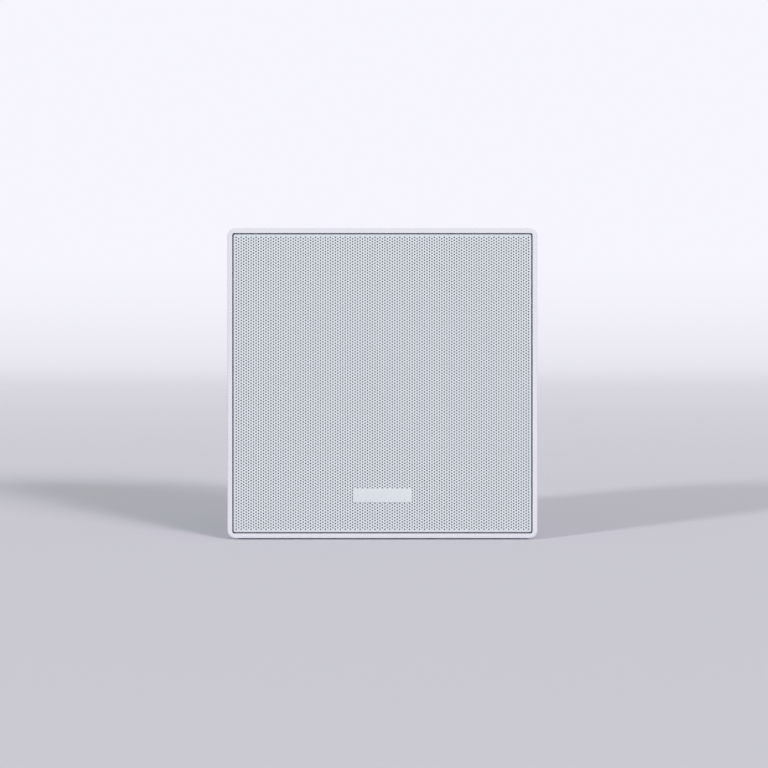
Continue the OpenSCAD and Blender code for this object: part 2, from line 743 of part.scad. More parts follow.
module input_panel() color(black) difference() {
  slab(panel_y, panel_face) translate([0, recess_z]) round_rect(panel_w, panel_h, 4);
  for (p = panel_spots) rod(p, panel_y - 1, panel_face + 1, panel_screw_d + 2 * screw_fit);
  for (p = spacer_spots) rod(p, panel_y - 1, panel_face + 1, 3 + 2 * screw_fit);
  slab(panel_y - 1, panel_face + 1) translate([header_x, recess_z])
    square([header_w, header_h], center = true);
  rod([selector_x, recess_z], panel_y - 1, panel_face + 1, bush_d + 2 * screw_fit);
}

module input_panel_gasket() color(foam) difference() {
  slab(floor_y, panel_y) translate([0, recess_z]) difference() {
    round_rect(panel_w, panel_h, 4);
    square([aperture_w + 1, aperture_h + 1], center = true);
  }
  for (p = panel_spots) rod(p, floor_y - 1, panel_y + 1, panel_screw_d + 2 * screw_fit);
}

module input_panel_screws() color(steel) for (p = panel_spots)
  translate([p[0], panel_face, p[1]]) rotate([90, 0, 0]) screw(panel_screw_d, panel_screw_l);

// The header's shroud is open to the rear and takes the plug
module terminal_header() color("green") {
  y0 = panel_face - header_depth;
  difference() {
    slab(y0, panel_face) translate([header_x, recess_z]) square([header_w, header_h], center = true);
    slab(y0 + 2, panel_face + 1) translate([header_x, recess_z])
      square([header_w - 3, header_h - 3], center = true);
  }
}

module terminal_plug() color("limegreen") {
  y0 = panel_face - header_depth + 2;
  y1 = panel_face + plug_out;
  difference() {
    union() {
      slab(y0, y1) translate([header_x, recess_z]) square([header_w - 3, header_h - 3], center = true);
      slab(panel_face, y1) translate([header_x, recess_z + 2])
        square([header_w - 3, header_h + 1], center = true);
    }
    for (i = [0:poles - 1]) {
      x = header_x + (i - (poles - 1) / 2) * pole_pitch;
      rod([x, recess_z - 1.5], panel_face + 1, y1 + 1, 3.4);
      translate([x, y1 - 5, recess_z + 5]) cylinder(d = 3.6, h = 9);
    }
  }
}

module terminal_plug_screws() color(steel) for (i = [0:poles - 1])
  translate([header_x + (i - (poles - 1) / 2) * pole_pitch, panel_face + plug_out - 5, recess_z + 5]) difference() {
    cylinder(d = 3.4, h = 2.6);
    translate([0, 0, 2.6]) cube([4, 0.6, 1.6], center = true);
  }

module selector_switch() color(black) difference() {
  union() {
    rod([selector_x, recess_z], panel_y - spacer_l + 2, panel_y, switch_d);
    rod([selector_x, recess_z], panel_y - 1, panel_face + bush_l, bush_d);
  }
  rod([selector_x, recess_z], panel_y - spacer_l + 4, panel_face + bush_l + 1, shaft_d + 0.1);
}

module selector_nut() color(steel)
  translate([selector_x, panel_face + 2, recess_z]) rotate([90, 0, 0]) difference() {
  cylinder(d = 13, h = 2, $fn = 6);
  translate([0, 0, -1]) cylinder(d = bush_d, h = 4);
}

module selector_shaft() color(steel)
  rod([selector_x, recess_z], panel_y - spacer_l + 4.1, panel_face + knob_l, shaft_d);

// A fluted knob with a pointer ridge, hollow behind so that it clears the nut
module selector_knob() color(black) {
  y0 = panel_face + 1;
  y1 = panel_face + knob_l + 2;
  difference() {
    union() {
      translate([selector_x, y1, recess_z]) rotate([90, 0, 0]) rotate_extrude() polygon([[0, 0],
        [knob_d / 2 - 3, 0], [knob_d / 2 - 2, 1], [knob_d / 2 - 2, knob_l - 3], [knob_d / 2, knob_l - 2],
        [knob_d / 2, knob_l + 1], [0, knob_l + 1]]);
      translate([selector_x, y1 - 1, recess_z + knob_d / 4 - 1])
        cube([1.6, 3, knob_d / 2 - 4], center = true);
    }
    rod([selector_x, recess_z], y0 - 1, panel_face + bush_l + 1, 16);
    rod([selector_x, recess_z], y0 - 1, panel_face + knob_l, shaft_d);
    for (k = [0:11]) translate([selector_x, y1 + 1, recess_z]) rotate([90, 0, 0]) rotate(30 * k + 15)
      translate([knob_d / 2 - 1.3, 0, 0]) cylinder(d = 2.6, h = knob_l - 1.5);
  }
}

module crossover_board() color("darkgreen") difference() {
  slab(board_y, board_y + board_t) translate([0, recess_z]) square([board_w, board_h], center = true);
  for (p = spacer_spots) rod(p, board_y - 1, board_y + board_t + 1, 3 + 2 * screw_fit);
}

module board_spacers() color(brass) for (p = spacer_spots) difference() {
  translate([p[0], panel_y, p[1]]) rotate([90, 0, 0]) cylinder(d = 6.4, h = spacer_l, $fn = 6);
  rod(p, panel_y - spacer_l - 1, panel_y + 1, 3);
}

module board_screws() color(steel) for (p = spacer_spots) {
  translate([p[0], board_y, p[1]]) rotate([-90, 0, 0]) screw(3, board_t + 5);
  translate([p[0], panel_face, p[1]]) rotate([90, 0, 0]) screw(3, panel_t + 5);
}

// An E and I core with two windows, and the coil that fills them round its middle leg
module transformer_core() color(steel) slab(winding_y + core_leg - 1, winding_y + core_leg - 1 + core_t)
  translate([core_x, recess_z]) difference() {
    square([core_w, core_h], center = true);
    for (x = [-1, 1]) translate([x * 1.5 * core_leg, 0])
      square([core_leg, core_h - 2 * core_leg], center = true);
  }

module transformer_winding() color(copper) difference() {
  slab(winding_y, board_y) translate([core_x, recess_z])
    round_rect(4 * core_leg - 0.6, core_h - 2 * core_leg - 0.6, 2);
  slab(winding_y + core_leg - 1, winding_y + core_leg - 1 + core_t) translate([core_x, recess_z])
    square([2 * core_leg, core_h], center = true);
}

// Two steel angles that hold the core's sides and stand on the board
module transformer_frame() color(steel) {
  y0 = winding_y + core_leg - 1;
  difference() {
    slab(y0 - strap_t, board_y) translate([core_x, recess_z])
      square([core_w + 2 * strap_t, 18], center = true);
    slab(y0, board_y + 1) translate([core_x, recess_z]) square([core_w, 20], center = true);
    slab(y0 - strap_t - 1, y0 + 1) translate([core_x, recess_z]) square([4 * core_leg, 20], center = true);
  }
}

module choke(x, z, d, h) {
  color(black) difference() {
    union() {
      rod([x, z], board_y - h, board_y, d * 0.45);
      for (y = [board_y - h, board_y - 1.5]) rod([x, z], y, y + 1.5, d);
    }
    rod([x, z], board_y - h - 1, board_y + 1, d * 0.35);
  }
  color(copper) difference() {
    rod([x, z], board_y - h + 1.5, board_y - 1.5, d - 2);
    rod([x, z], board_y - h, board_y, d * 0.45);
  }
}

module woofer_choke() choke(choke_x, choke_z, choke_d, choke_l);
module tweeter_choke() choke(tweeter_choke_x, tweeter_choke_z, tweeter_choke_d, tweeter_choke_l);

module crossover_capacitors() color("gold") for (i = [0, 1])
  translate([cap_x, board_y - cap_d / 2, recess_z - 10 - i * (cap_d + 2)]) rotate([0, 90, 0]) {
    cylinder(d = cap_d, h = cap_l);
    translate([0, 0, -2]) cylinder(d = 1, h = cap_l + 4);
  }

module crossover_resistors() color("beige") for (x = [44, 52])
  translate([x, board_y - 7, recess_z - 2 - resistor_l]) cube([6.5, 7, resistor_l]);

// A lead that runs straight along the axes and turns through round elbows
module lead(points, d, bend) {
  last = len(points) - 1;
  for (i = [0:last - 1]) {
    a = points[i] + (i > 0 ? bend * unit(points[i + 1] - points[i]) : [0, 0, 0]);
    b = points[i + 1] - (i < last - 1 ? bend * unit(points[i + 1] - points[i]) : [0, 0, 0]);
    along(a, unit(b - a)) cylinder(d = d, h = norm(b - a), $fn = 24);
  }
  for (i = [1:last - 1])
    elbow(points[i], unit(points[i] - points[i - 1]), unit(points[i + 1] - points[i]), d, bend);
}

module along(p, u) {
  v = abs(u[2]) > 0.5 ? [1, 0, 0] : [0, 0, 1];
  w = cross(u, v);
  multmatrix([[v[0], w[0], u[0], p[0]], [v[1], w[1], u[1], p[1]], [v[2], w[2], u[2], p[2]], [0, 0, 0, 1]])
    children();
}

module elbow(p, u, v, d, bend) {
  c = p - bend * u + bend * v;
  w = cross(u, v);
  multmatrix([[-v[0], u[0], -w[0], c[0]], [-v[1], u[1], -w[1], c[1]], [-v[2], u[2], -w[2], c[2]], [0, 0, 0, 1]])
    rotate_extrude(angle = 90) translate([bend, 0]) circle(d = d, $fn = 24);
}

module woofer_lead() color("red") lead([[lug_x, lug_y + 4, woofer_z],
  [lug_x, woofer_lead_y, woofer_z], [lug_x, woofer_lead_y, lead_z], [woofer_lead_x, woofer_lead_y, lead_z],
  [woofer_lead_x, board_y, lead_z]], woofer_lead_d, lead_bend);

module tweeter_lead() color("gray") lead([[0, baffle_y + cup_depth - cup_floor, woofer_z],
  [0, tweeter_lead_y, woofer_z], [0, tweeter_lead_y, lead_z], [tweeter_lead_x, tweeter_lead_y, lead_z],
  [tweeter_lead_x, board_y, lead_z]], tweeter_lead_d, lead_bend);

// Foam sheets glued inside both side walls and the top
module damping_lining() color(foam) {
  d = inner_w / 2;
  difference() {
    for (x = [-1, 1]) translate([x * (d - lining_t / 2), lining_y + lining_l / 2, mid_z])
      cube([lining_t, lining_l, lining_h], center = true);
    translate([0, pivot_y, mid_z]) rotate([0, 90, 0])
      cylinder(d = pivot_boss_d + 8, h = body_w, center = true);
  }
  translate([0, lining_y + lining_l / 2, mid_z + d - lining_t / 2])
    cube([lining_h, lining_l, lining_t], center = true);
}

module mounting_inserts() color(brass) for (p = insert_spots) difference() {
  rod(p, back_y - insert_l, back_y, insert_d);
  rod(p, back_y - insert_l - 1, back_y + 1, insert_bore);
}

module pivot_inserts() color(brass) for (x = [-1, 1])
  translate([x * (body_w / 2 - pivot_cap_t), pivot_y, mid_z]) rotate([0, -90 * x, 0]) difference() {
    cylinder(d = pivot_d, h = pivot_l);
    translate([0, 0, -1]) cylinder(d = pivot_bore, h = pivot_l + 2);
  }

module pivot_plugs() color(white) for (x = [-1, 1])
  translate([x * body_w / 2, pivot_y, mid_z]) rotate([0, -90 * x, 0]) {
    cylinder(d = pivot_cap_d, h = pivot_cap_t);
    cylinder(d = pivot_bore - 2 * screw_fit, h = pivot_cap_t + 8);
  }

module rubber_feet() color(black) for (p = foot_spots)
  translate([p[0], p[1], 0]) rotate_extrude() polygon([[0, 0], [foot_d / 2 - 1, 0], [foot_d / 2, 1],
    [foot_d / 2, foot_proud + foot_sink], [0, foot_proud + foot_sink]]);

front_frame();
rear_cabinet();
cabinet_gasket();
cabinet_screws();
grille();
grille_scrim();
badge();
grille_magnets();
woofer_frame();
woofer_gasket();
woofer_screws();
woofer_top_plate();
woofer_magnet();
woofer_yoke();
woofer_cone();
woofer_surround();
woofer_spider();
voice_coil_former();
voice_coil_winding();
dust_ring();
woofer_terminals();
tinsel_leads();
tweeter_post();
tweeter_nut();
tweeter_cup();
tweeter_magnet();
tweeter_plate();
tweeter_dome();
tweeter_coil();
tweeter_suspension();
tweeter_waveguide();
port_tube_left();
port_tube_right();
input_panel();
input_panel_gasket();
input_panel_screws();
terminal_header();
terminal_plug();
terminal_plug_screws();
selector_switch();
selector_nut();
selector_shaft();
selector_knob();
crossover_board();
board_spacers();
board_screws();
transformer_core();
transformer_winding();
transformer_frame();
woofer_choke();
tweeter_choke();
crossover_capacitors();
crossover_resistors();
woofer_lead();
tweeter_lead();
damping_lining();
mounting_inserts();
pivot_inserts();
pivot_plugs();
rubber_feet();
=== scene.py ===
"""Dresses a square commercial loudspeaker: white mouldings, a punched grille, a coaxial driver."""
import json
import math

import bpy
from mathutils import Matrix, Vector
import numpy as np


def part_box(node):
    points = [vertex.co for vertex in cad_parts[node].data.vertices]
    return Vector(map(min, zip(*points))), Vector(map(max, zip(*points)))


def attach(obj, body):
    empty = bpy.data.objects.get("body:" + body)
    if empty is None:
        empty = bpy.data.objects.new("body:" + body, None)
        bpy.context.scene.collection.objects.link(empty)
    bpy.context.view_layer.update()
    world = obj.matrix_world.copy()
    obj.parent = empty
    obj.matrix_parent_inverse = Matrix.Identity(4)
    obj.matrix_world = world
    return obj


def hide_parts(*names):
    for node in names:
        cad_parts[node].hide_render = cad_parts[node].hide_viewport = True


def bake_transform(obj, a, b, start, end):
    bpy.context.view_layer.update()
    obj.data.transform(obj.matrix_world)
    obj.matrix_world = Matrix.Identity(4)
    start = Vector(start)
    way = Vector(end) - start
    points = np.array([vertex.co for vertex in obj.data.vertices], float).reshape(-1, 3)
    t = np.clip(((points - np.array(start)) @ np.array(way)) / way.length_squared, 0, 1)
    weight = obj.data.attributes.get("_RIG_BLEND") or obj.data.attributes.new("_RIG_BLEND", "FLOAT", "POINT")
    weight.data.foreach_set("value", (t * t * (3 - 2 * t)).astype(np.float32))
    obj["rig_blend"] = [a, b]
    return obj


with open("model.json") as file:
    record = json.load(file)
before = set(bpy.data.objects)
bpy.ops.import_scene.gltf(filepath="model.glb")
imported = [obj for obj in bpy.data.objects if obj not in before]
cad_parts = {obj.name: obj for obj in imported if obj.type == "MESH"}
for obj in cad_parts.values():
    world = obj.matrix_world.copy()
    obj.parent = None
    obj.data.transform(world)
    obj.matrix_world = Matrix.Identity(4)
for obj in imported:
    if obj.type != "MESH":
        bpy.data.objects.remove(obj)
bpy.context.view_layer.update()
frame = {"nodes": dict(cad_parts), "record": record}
nodes = frame["nodes"]
MM = 0.001

# Camera
# It looks straight at the grille from two metres, level with the middle of the body,
# and the body spans as much of the picture as in the photograph.
front_low, front_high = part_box("front_frame")
FRONT_Y = front_low.y
BODY_W = front_high.x - front_low.x
BODY_LOW = front_low.z
BODY_MID = (front_low.z + front_high.z) / 2
PICTURE_PX = 768
BODY_PX = 310.2
BODY_CENTRE_PX = (382.4, 383.3)
CAMERA_FAR = 2.0
SENSOR_MM = 36.0
SIGHT = 2000.0

pixel = BODY_W / BODY_PX
camera_data = bpy.data.cameras.new("camera")
camera_data.sensor_width = SENSOR_MM
camera_data.lens = SENSOR_MM * CAMERA_FAR / (pixel * PICTURE_PX)
camera_data.clip_end = SIGHT
camera = bpy.data.objects.new("camera", camera_data)
camera.location = (
    pixel * (PICTURE_PX / 2 - BODY_CENTRE_PX[0]),
    FRONT_Y - CAMERA_FAR,
    BODY_MID - pixel * (PICTURE_PX / 2 - BODY_CENTRE_PX[1]),
)
camera.rotation_euler = (math.radians(90), 0, 0)
bpy.context.scene.collection.objects.link(camera)
bpy.context.scene.camera = camera
bpy.context.scene.view_settings.view_transform = "Standard"


# Floor and light
# A wide pale floor meets a brighter haze at the horizon. Two soft lamps stand low in front,
# one to each side, and throw the two fans of shadow beside the body. Two more light the floor alone.
def tint(red, green, blue):
    """A colour read from a screen, 0 to 255, as the linear values that a shader takes."""
    def channel(value):
        share = value / 255
        return share / 12.92 if share <= 0.04045 else ((share + 0.055) / 1.055) ** 2.4

    return (channel(red), channel(green), channel(blue), 1.0)


def deselect_all():
    """Keeps the next operator off the pieces made before it."""
    bpy.ops.object.select_all(action="DESELECT")


FLOOR_SIZE = 4000.0
HAZE_HALF = 8.0
FLOOR_NEAR = tint(186, 188, 196)
FLOOR_FAR = tint(203, 205, 213)

deselect_all()
bpy.ops.mesh.primitive_plane_add(size=FLOOR_SIZE)
floor = bpy.context.object
floor.name = "floor"
floor_look = bpy.data.materials.new("pale_floor")
floor_look.use_nodes = True
tree = floor_look.node_tree
floor_shader = tree.nodes["Principled BSDF"]
floor_shader.inputs["Roughness"].default_value = 0.7
floor_shader.inputs["Specular IOR Level"].default_value = 0.0
where = tree.nodes.new("ShaderNodeTexCoord")
distance = tree.nodes.new("ShaderNodeVectorMath")
distance.operation = "LENGTH"
beyond = tree.nodes.new("ShaderNodeMath")
beyond.inputs[1].default_value = HAZE_HALF
haze = tree.nodes.new("ShaderNodeMath")
haze.operation = "DIVIDE"
blend = tree.nodes.new("ShaderNodeMix")
blend.data_type = "RGBA"
blend.inputs["A"].default_value = FLOOR_NEAR
blend.inputs["B"].default_value = FLOOR_FAR
tree.links.new(where.outputs["Object"], distance.inputs[0])
tree.links.new(distance.outputs["Value"], beyond.inputs[0])
tree.links.new(distance.outputs["Value"], haze.inputs[0])
tree.links.new(beyond.outputs[0], haze.inputs[1])
tree.links.new(haze.outputs[0], blend.inputs["Factor"])
tree.links.new(blend.outputs["Result"], floor_shader.inputs["Base Color"])
floor.data.materials.append(floor_look)

SKY_TOP = 0.08
SKY = {
    0.0: tint(218, 217, 225),
    0.03: tint(221, 220, 228),
    0.09: tint(229, 228, 236),
    0.16: tint(233, 232, 240),
    0.29: tint(237, 236, 244),
    0.55: tint(243, 242, 250),
    0.8: tint(246, 245, 253),
}
ROOM_LIGHT = (0.98, 0.985, 0.975, 1.0)
ROOM_STRENGTH = 0.6
LAMP_LIGHT = (1.0, 0.99, 0.98)
ROSE_LIGHT = (1.0, 0.86, 0.88)

world = bpy.data.worlds.new("room")
bpy.context.scene.world = world
world.use_nodes = True
tree = world.node_tree
tree.nodes.clear()
out = tree.nodes.new("ShaderNodeOutputWorld")
shown = tree.nodes.new("ShaderNodeBackground")
lit = tree.nodes.new("ShaderNodeBackground")
lit.inputs["Color"].default_value = ROOM_LIGHT
lit.inputs["Strength"].default_value = ROOM_STRENGTH
mix = tree.nodes.new("ShaderNodeMixShader")
path = tree.nodes.new("ShaderNodeLightPath")
seen = tree.nodes.new("ShaderNodeMath")
seen.operation = "MAXIMUM"
where = tree.nodes.new("ShaderNodeTexCoord")
apart = tree.nodes.new("ShaderNodeSeparateXYZ")
rise = tree.nodes.new("ShaderNodeMapRange")
rise.inputs["From Max"].default_value = SKY_TOP
shades = tree.nodes.new("ShaderNodeValToRGB")
steps = shades.color_ramp.elements
while len(steps) < len(SKY):
    steps.new(0.5)
for step, (height, colour) in zip(steps, SKY.items()):
    step.position = height
    step.color = colour
tree.links.new(where.outputs["Generated"], apart.inputs[0])
tree.links.new(apart.outputs["Z"], rise.inputs["Value"])
tree.links.new(rise.outputs["Result"], shades.inputs["Fac"])
tree.links.new(shades.outputs["Color"], shown.inputs["Color"])
tree.links.new(path.outputs["Is Camera Ray"], seen.inputs[0])
tree.links.new(path.outputs["Is Glossy Ray"], seen.inputs[1])
tree.links.new(seen.outputs[0], mix.inputs[0])
tree.links.new(lit.outputs[0], mix.inputs[1])
tree.links.new(shown.outputs[0], mix.inputs[2])
tree.links.new(mix.outputs[0], out.inputs[0])

floor_only = bpy.data.collections.new("floor_only")
floor_only.objects.link(floor)


def add_lamp(name, side, height, strength, softness, colour=LAMP_LIGHT, only=None):
    """A distant soft lamp, side degrees round from the camera and height degrees up, for all or one group."""
    data = bpy.data.lights.new(name, "SUN")
    data.energy = strength
    data.angle = math.radians(softness)
    data.color = colour
    lamp = bpy.data.objects.new(name, data)
    lamp.rotation_euler = (math.radians(90 - height), 0, math.radians(side))
    lamp.light_linking.receiver_collection = only
    bpy.context.scene.collection.objects.link(lamp)


add_lamp("lamp_right", side=34, height=14, strength=1.0, softness=8)
add_lamp("lamp_left", side=-36, height=14.5, strength=0.55, softness=8)
add_lamp(
    "floor_right",
    side=25,
    height=14.5,
    strength=3.6,
    softness=10,
    colour=ROSE_LIGHT,
    only=floor_only,
)
add_lamp("floor_left", side=-36, height=14.5, strength=2.3, softness=8, only=floor_only)


# The two mouldings
# Front frame and rear tub are injection moulded in white ABS with a fine spark-eroded texture.
# They meet at a seam 40 mm behind the rim.
def new_material(name, colour, roughness, metallic=0.0):
    """A principled material of one colour and gloss, for the helpers below to work on."""
    look = bpy.data.materials.new(name)
    look.use_nodes = True
    shader = look.node_tree.nodes["Principled BSDF"]
    shader.inputs["Base Color"].default_value = colour
    shader.inputs["Roughness"].default_value = roughness
    shader.inputs["Metallic"].default_value = metallic
    look.diffuse_color = colour
    return look


def add_noise(look, size_mm, detail=2.0, stretch=(1, 1, 1)):
    """A noise whose spots are about size_mm across, on object coordinates."""
    tree = look.node_tree
    where = tree.nodes.new("ShaderNodeTexCoord")
    place = tree.nodes.new("ShaderNodeMapping")
    place.inputs["Scale"].default_value = [part / (size_mm * MM) for part in stretch]
    noise = tree.nodes.new("ShaderNodeTexNoise")
    noise.inputs["Scale"].default_value = 1.0
    noise.inputs["Detail"].default_value = detail
    tree.links.new(where.outputs["Object"], place.inputs["Vector"])
    tree.links.new(place.outputs["Vector"], noise.inputs["Vector"])
    return noise.outputs["Fac"]


def add_bump(look, height, depth_mm):
    """Raises the surface by a height signal, depth_mm from low to high."""
    tree = look.node_tree
    bump = tree.nodes.new("ShaderNodeBump")
    bump.inputs["Strength"].default_value = 1.0
    bump.inputs["Distance"].default_value = depth_mm * MM
    shader = tree.nodes["Principled BSDF"]
    earlier = shader.inputs["Normal"].links
    if earlier:
        tree.links.new(earlier[0].from_socket, bump.inputs["Normal"])
    tree.links.new(height, bump.inputs["Height"])
    tree.links.new(bump.outputs["Normal"], shader.inputs["Normal"])


def add_drift(look, signal, colour, share):
    """Lets the colour drift by a share towards another, as a signal goes from 0 to 1."""
    tree = look.node_tree
    shader = tree.nodes["Principled BSDF"]
    blend = tree.nodes.new("ShaderNodeMix")
    blend.data_type = "RGBA"
    blend.inputs["A"].default_value = shader.inputs["Base Color"].default_value
    blend.inputs["B"].default_value = colour
    amount = tree.nodes.new("ShaderNodeMath")
    amount.operation = "MULTIPLY"
    amount.inputs[1].default_value = share
    earlier = shader.inputs["Base Color"].links
    if earlier:
        tree.links.new(earlier[0].from_socket, blend.inputs["A"])
    tree.links.new(signal, amount.inputs[0])
    tree.links.new(amount.outputs[0], blend.inputs["Factor"])
    tree.links.new(blend.outputs["Result"], shader.inputs["Base Color"])


def add_gloss_drift(look, signal, low, high):
    """Lets the roughness drift between two values by a signal."""
    tree = look.node_tree
    spread = tree.nodes.new("ShaderNodeMapRange")
    spread.inputs["To Min"].default_value = low
    spread.inputs["To Max"].default_value = high
    tree.links.new(signal, spread.inputs["Value"])
    tree.links.new(spread.outputs["Result"], tree.nodes["Principled BSDF"].inputs["Roughness"])


def paint(look, *names):
    """Gives CAD nodes their finish."""
    for name in names:
        nodes[name].data.materials.clear()
        nodes[name].data.materials.append(look)


def choose(piece):
    """Selects one piece alone, for the operators that follow."""
    deselect_all()
    piece.select_set(True)
    bpy.context.view_layer.objects.active = piece


def smooth_by_angle(piece, degrees):
    """Smooth shading, apart from edges sharper than an angle."""
    choose(piece)
    bpy.ops.object.shade_smooth_by_angle(angle=math.radians(degrees))


def welded(name, degrees=33):
    """A copy of a CAD node, its triangles merged and its round faces smoothed."""
    piece = bpy.data.objects.new(name + "_finished", nodes[name].data.copy())
    bpy.context.scene.collection.objects.link(piece)
    choose(piece)
    bpy.ops.object.mode_set(mode="EDIT")
    bpy.ops.mesh.select_all(action="SELECT")
    bpy.ops.mesh.remove_doubles(threshold=0.004 * MM)
    bpy.ops.mesh.customdata_custom_splitnormals_clear()
    bpy.ops.object.mode_set(mode="OBJECT")
    smooth_by_angle(piece, degrees)
    return piece


def hand_over(piece, name, look, body="cabinet", stands_for=()):
    """Names a finished piece and gives it its finish and its body, or none where it bends between two."""
    piece.name = name
    piece.data.materials.clear()
    piece.data.materials.append(look)
    if body:
        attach(piece, body)
    if stands_for:
        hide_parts(*stands_for)


MOULDING_COLOUR = tint(229, 229, 237)
MOULDING_SHADE = tint(221, 221, 230)
MOULDING_CLOUD = 60.0
MOULDING_GRAIN = 0.9
GRAIN_DEPTH = 0.05

moulding = new_material("white_moulding", MOULDING_COLOUR, 0.5)
add_bump(moulding, add_noise(moulding, MOULDING_GRAIN, 3.0), GRAIN_DEPTH)
add_drift(moulding, add_noise(moulding, MOULDING_CLOUD), MOULDING_SHADE, 0.35)
add_gloss_drift(moulding, add_noise(moulding, 2.2), 0.52, 0.68)
for name in ("front_frame", "rear_cabinet", "pivot_plugs"):
    hand_over(welded(name), name + "_finished", moulding, stands_for=[name])


# Grille
# One sheet of 1 mm steel, punched on a 3 mm triangular pitch, folded back on all four sides
# and powder coated. Four bands of holes and the folded border stand for the one sheet.
def settle(piece):
    """Puts a piece's place, turn and size into its mesh."""
    choose(piece)
    bpy.ops.object.transform_apply(location=True, rotation=True, scale=True)


def apply_modifiers(piece):
    """Puts what a piece's modifiers do into its mesh."""
    choose(piece)
    for modifier in list(piece.modifiers):
        bpy.ops.object.modifier_apply(modifier=modifier.name)


def copied(piece, shift=(0, 0, 0)):
    """A copy with its own mesh, moved by a number of millimetres."""
    twin = piece.copy()
    twin.data = piece.data.copy()
    bpy.context.scene.collection.objects.link(twin)
    twin.location = [part * MM for part in shift]
    settle(twin)
    return twin


def joined(first, *others):
    """Makes the pieces one, with the points that meet merged."""
    choose(first)
    for piece in others:
        piece.select_set(True)
    bpy.ops.object.join()
    bpy.ops.object.mode_set(mode="EDIT")
    bpy.ops.mesh.select_all(action="SELECT")
    bpy.ops.mesh.remove_doubles(threshold=0.01 * MM)
    bpy.ops.object.mode_set(mode="OBJECT")
    return first


def in_row(piece, count, step):
    """Repeats a piece count times, a number of millimetres apart, and merges the seams."""
    row = piece.modifiers.new("row", "ARRAY")
    row.use_relative_offset = False
    row.use_constant_offset = True
    row.constant_offset_displace = [part * MM for part in step]
    row.count = count
    row.use_merge_vertices = True
    row.merge_threshold = 0.01 * MM
    apply_modifiers(piece)


def thicken(piece, thickness_mm, side=-1.0):
    """Gives a surface its wall, inwards, or half to each side where side is 0."""
    wall = piece.modifiers.new("wall", "SOLIDIFY")
    wall.thickness = thickness_mm * MM
    wall.offset = side
    wall.use_even_offset = True
    apply_modifiers(piece)


def pick_edges(piece, fits):
    """Leaves a piece in edit mode with only the edges selected whose two ends fit."""
    choose(piece)
    bpy.ops.object.mode_set(mode="EDIT")
    bpy.ops.mesh.select_mode(type="EDGE")
    bpy.ops.mesh.select_all(action="DESELECT")
    bpy.ops.object.mode_set(mode="OBJECT")
    for edge in piece.data.edges:
        edge.select = fits(*[piece.data.vertices[i].co for i in edge.vertices])
    bpy.ops.object.mode_set(mode="EDIT")


PITCH = 3.0
COLUMN = PITCH * math.sqrt(3) / 2
HOLE_D = 1.6
HOLES_UP = 103
COLUMNS = 119
BANDS = 4
SHEET = 1.0
BEND_R = 1.7
GRILLE_CORNER_R = 2.0
FACE_CLEAR = 0.1
GRILLE_COLOUR = tint(217, 223, 228)

grille_low, grille_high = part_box("grille")
FIELD_W = COLUMNS * COLUMN
FIELD_H = HOLES_UP * PITCH
field_corner = Vector((-FIELD_W / 2, grille_low.y / MM, BODY_MID / MM - FIELD_H / 2))

powder_coat = new_material("white_powder_coat", GRILLE_COLOUR, 0.5)
add_bump(powder_coat, add_noise(powder_coat, 0.7, 1.0), 0.012)
add_gloss_drift(powder_coat, add_noise(powder_coat, 1.5), 0.45, 0.58)

deselect_all()
bpy.ops.mesh.primitive_plane_add(size=PITCH * MM, rotation=(math.radians(90), 0, 0))
cell = bpy.context.object
settle(cell)
bpy.ops.object.mode_set(mode="EDIT")
bpy.ops.mesh.select_all(action="SELECT")
bpy.ops.transform.resize(value=(COLUMN / PITCH, 1, 1))
bpy.ops.mesh.subdivide(number_cuts=1)
bpy.ops.mesh.inset(thickness=(COLUMN - HOLE_D) / 2 * MM)
bpy.ops.transform.tosphere(value=1.0)
bpy.ops.object.mode_set(mode="OBJECT")
hole_r = max(point.co.length for point in cell.data.vertices if point.select)
bpy.ops.object.mode_set(mode="EDIT")
bpy.ops.transform.resize(value=[HOLE_D / 2 * MM / hole_r] * 3)
bpy.ops.mesh.delete(type="FACE")
bpy.ops.object.mode_set(mode="OBJECT")

deselect_all()
bpy.ops.mesh.primitive_grid_add(
    x_subdivisions=2, y_subdivisions=1, size=COLUMN * MM, rotation=(math.radians(90), 0, 0)
)
blank = bpy.context.object
blank.scale.y = PITCH / 2 / COLUMN
settle(blank)

tall = copied(cell, field_corner + Vector((COLUMN / 2, 0, PITCH / 2)))
in_row(tall, HOLES_UP, (0, 0, PITCH))
short = copied(cell, field_corner + Vector((COLUMN * 1.5, 0, PITCH)))
in_row(short, HOLES_UP - 1, (0, 0, PITCH))
for height in (PITCH / 4, FIELD_H - PITCH / 4):
    end = copied(blank, field_corner + Vector((COLUMN * 1.5, 0, height)))
    joined(short, end)
pair = joined(copied(tall), short)

pairs = (COLUMNS + 1) // 2 // BANDS
for band in range(BANDS):
    start = (band * pairs * 2 * COLUMN, 0, 0)
    strip = copied(pair, start)
    if band < BANDS - 1:
        in_row(strip, pairs, (2 * COLUMN, 0, 0))
    else:
        in_row(strip, pairs - 1, (2 * COLUMN, 0, 0))
        joined(strip, copied(tall, (FIELD_W - COLUMN, 0, 0)))
    thicken(strip, SHEET)
    hand_over(strip, f"grille_band_{band + 1}", powder_coat, stands_for=["grille"])
for pattern in (cell, blank, tall, pair):
    bpy.data.objects.remove(pattern)

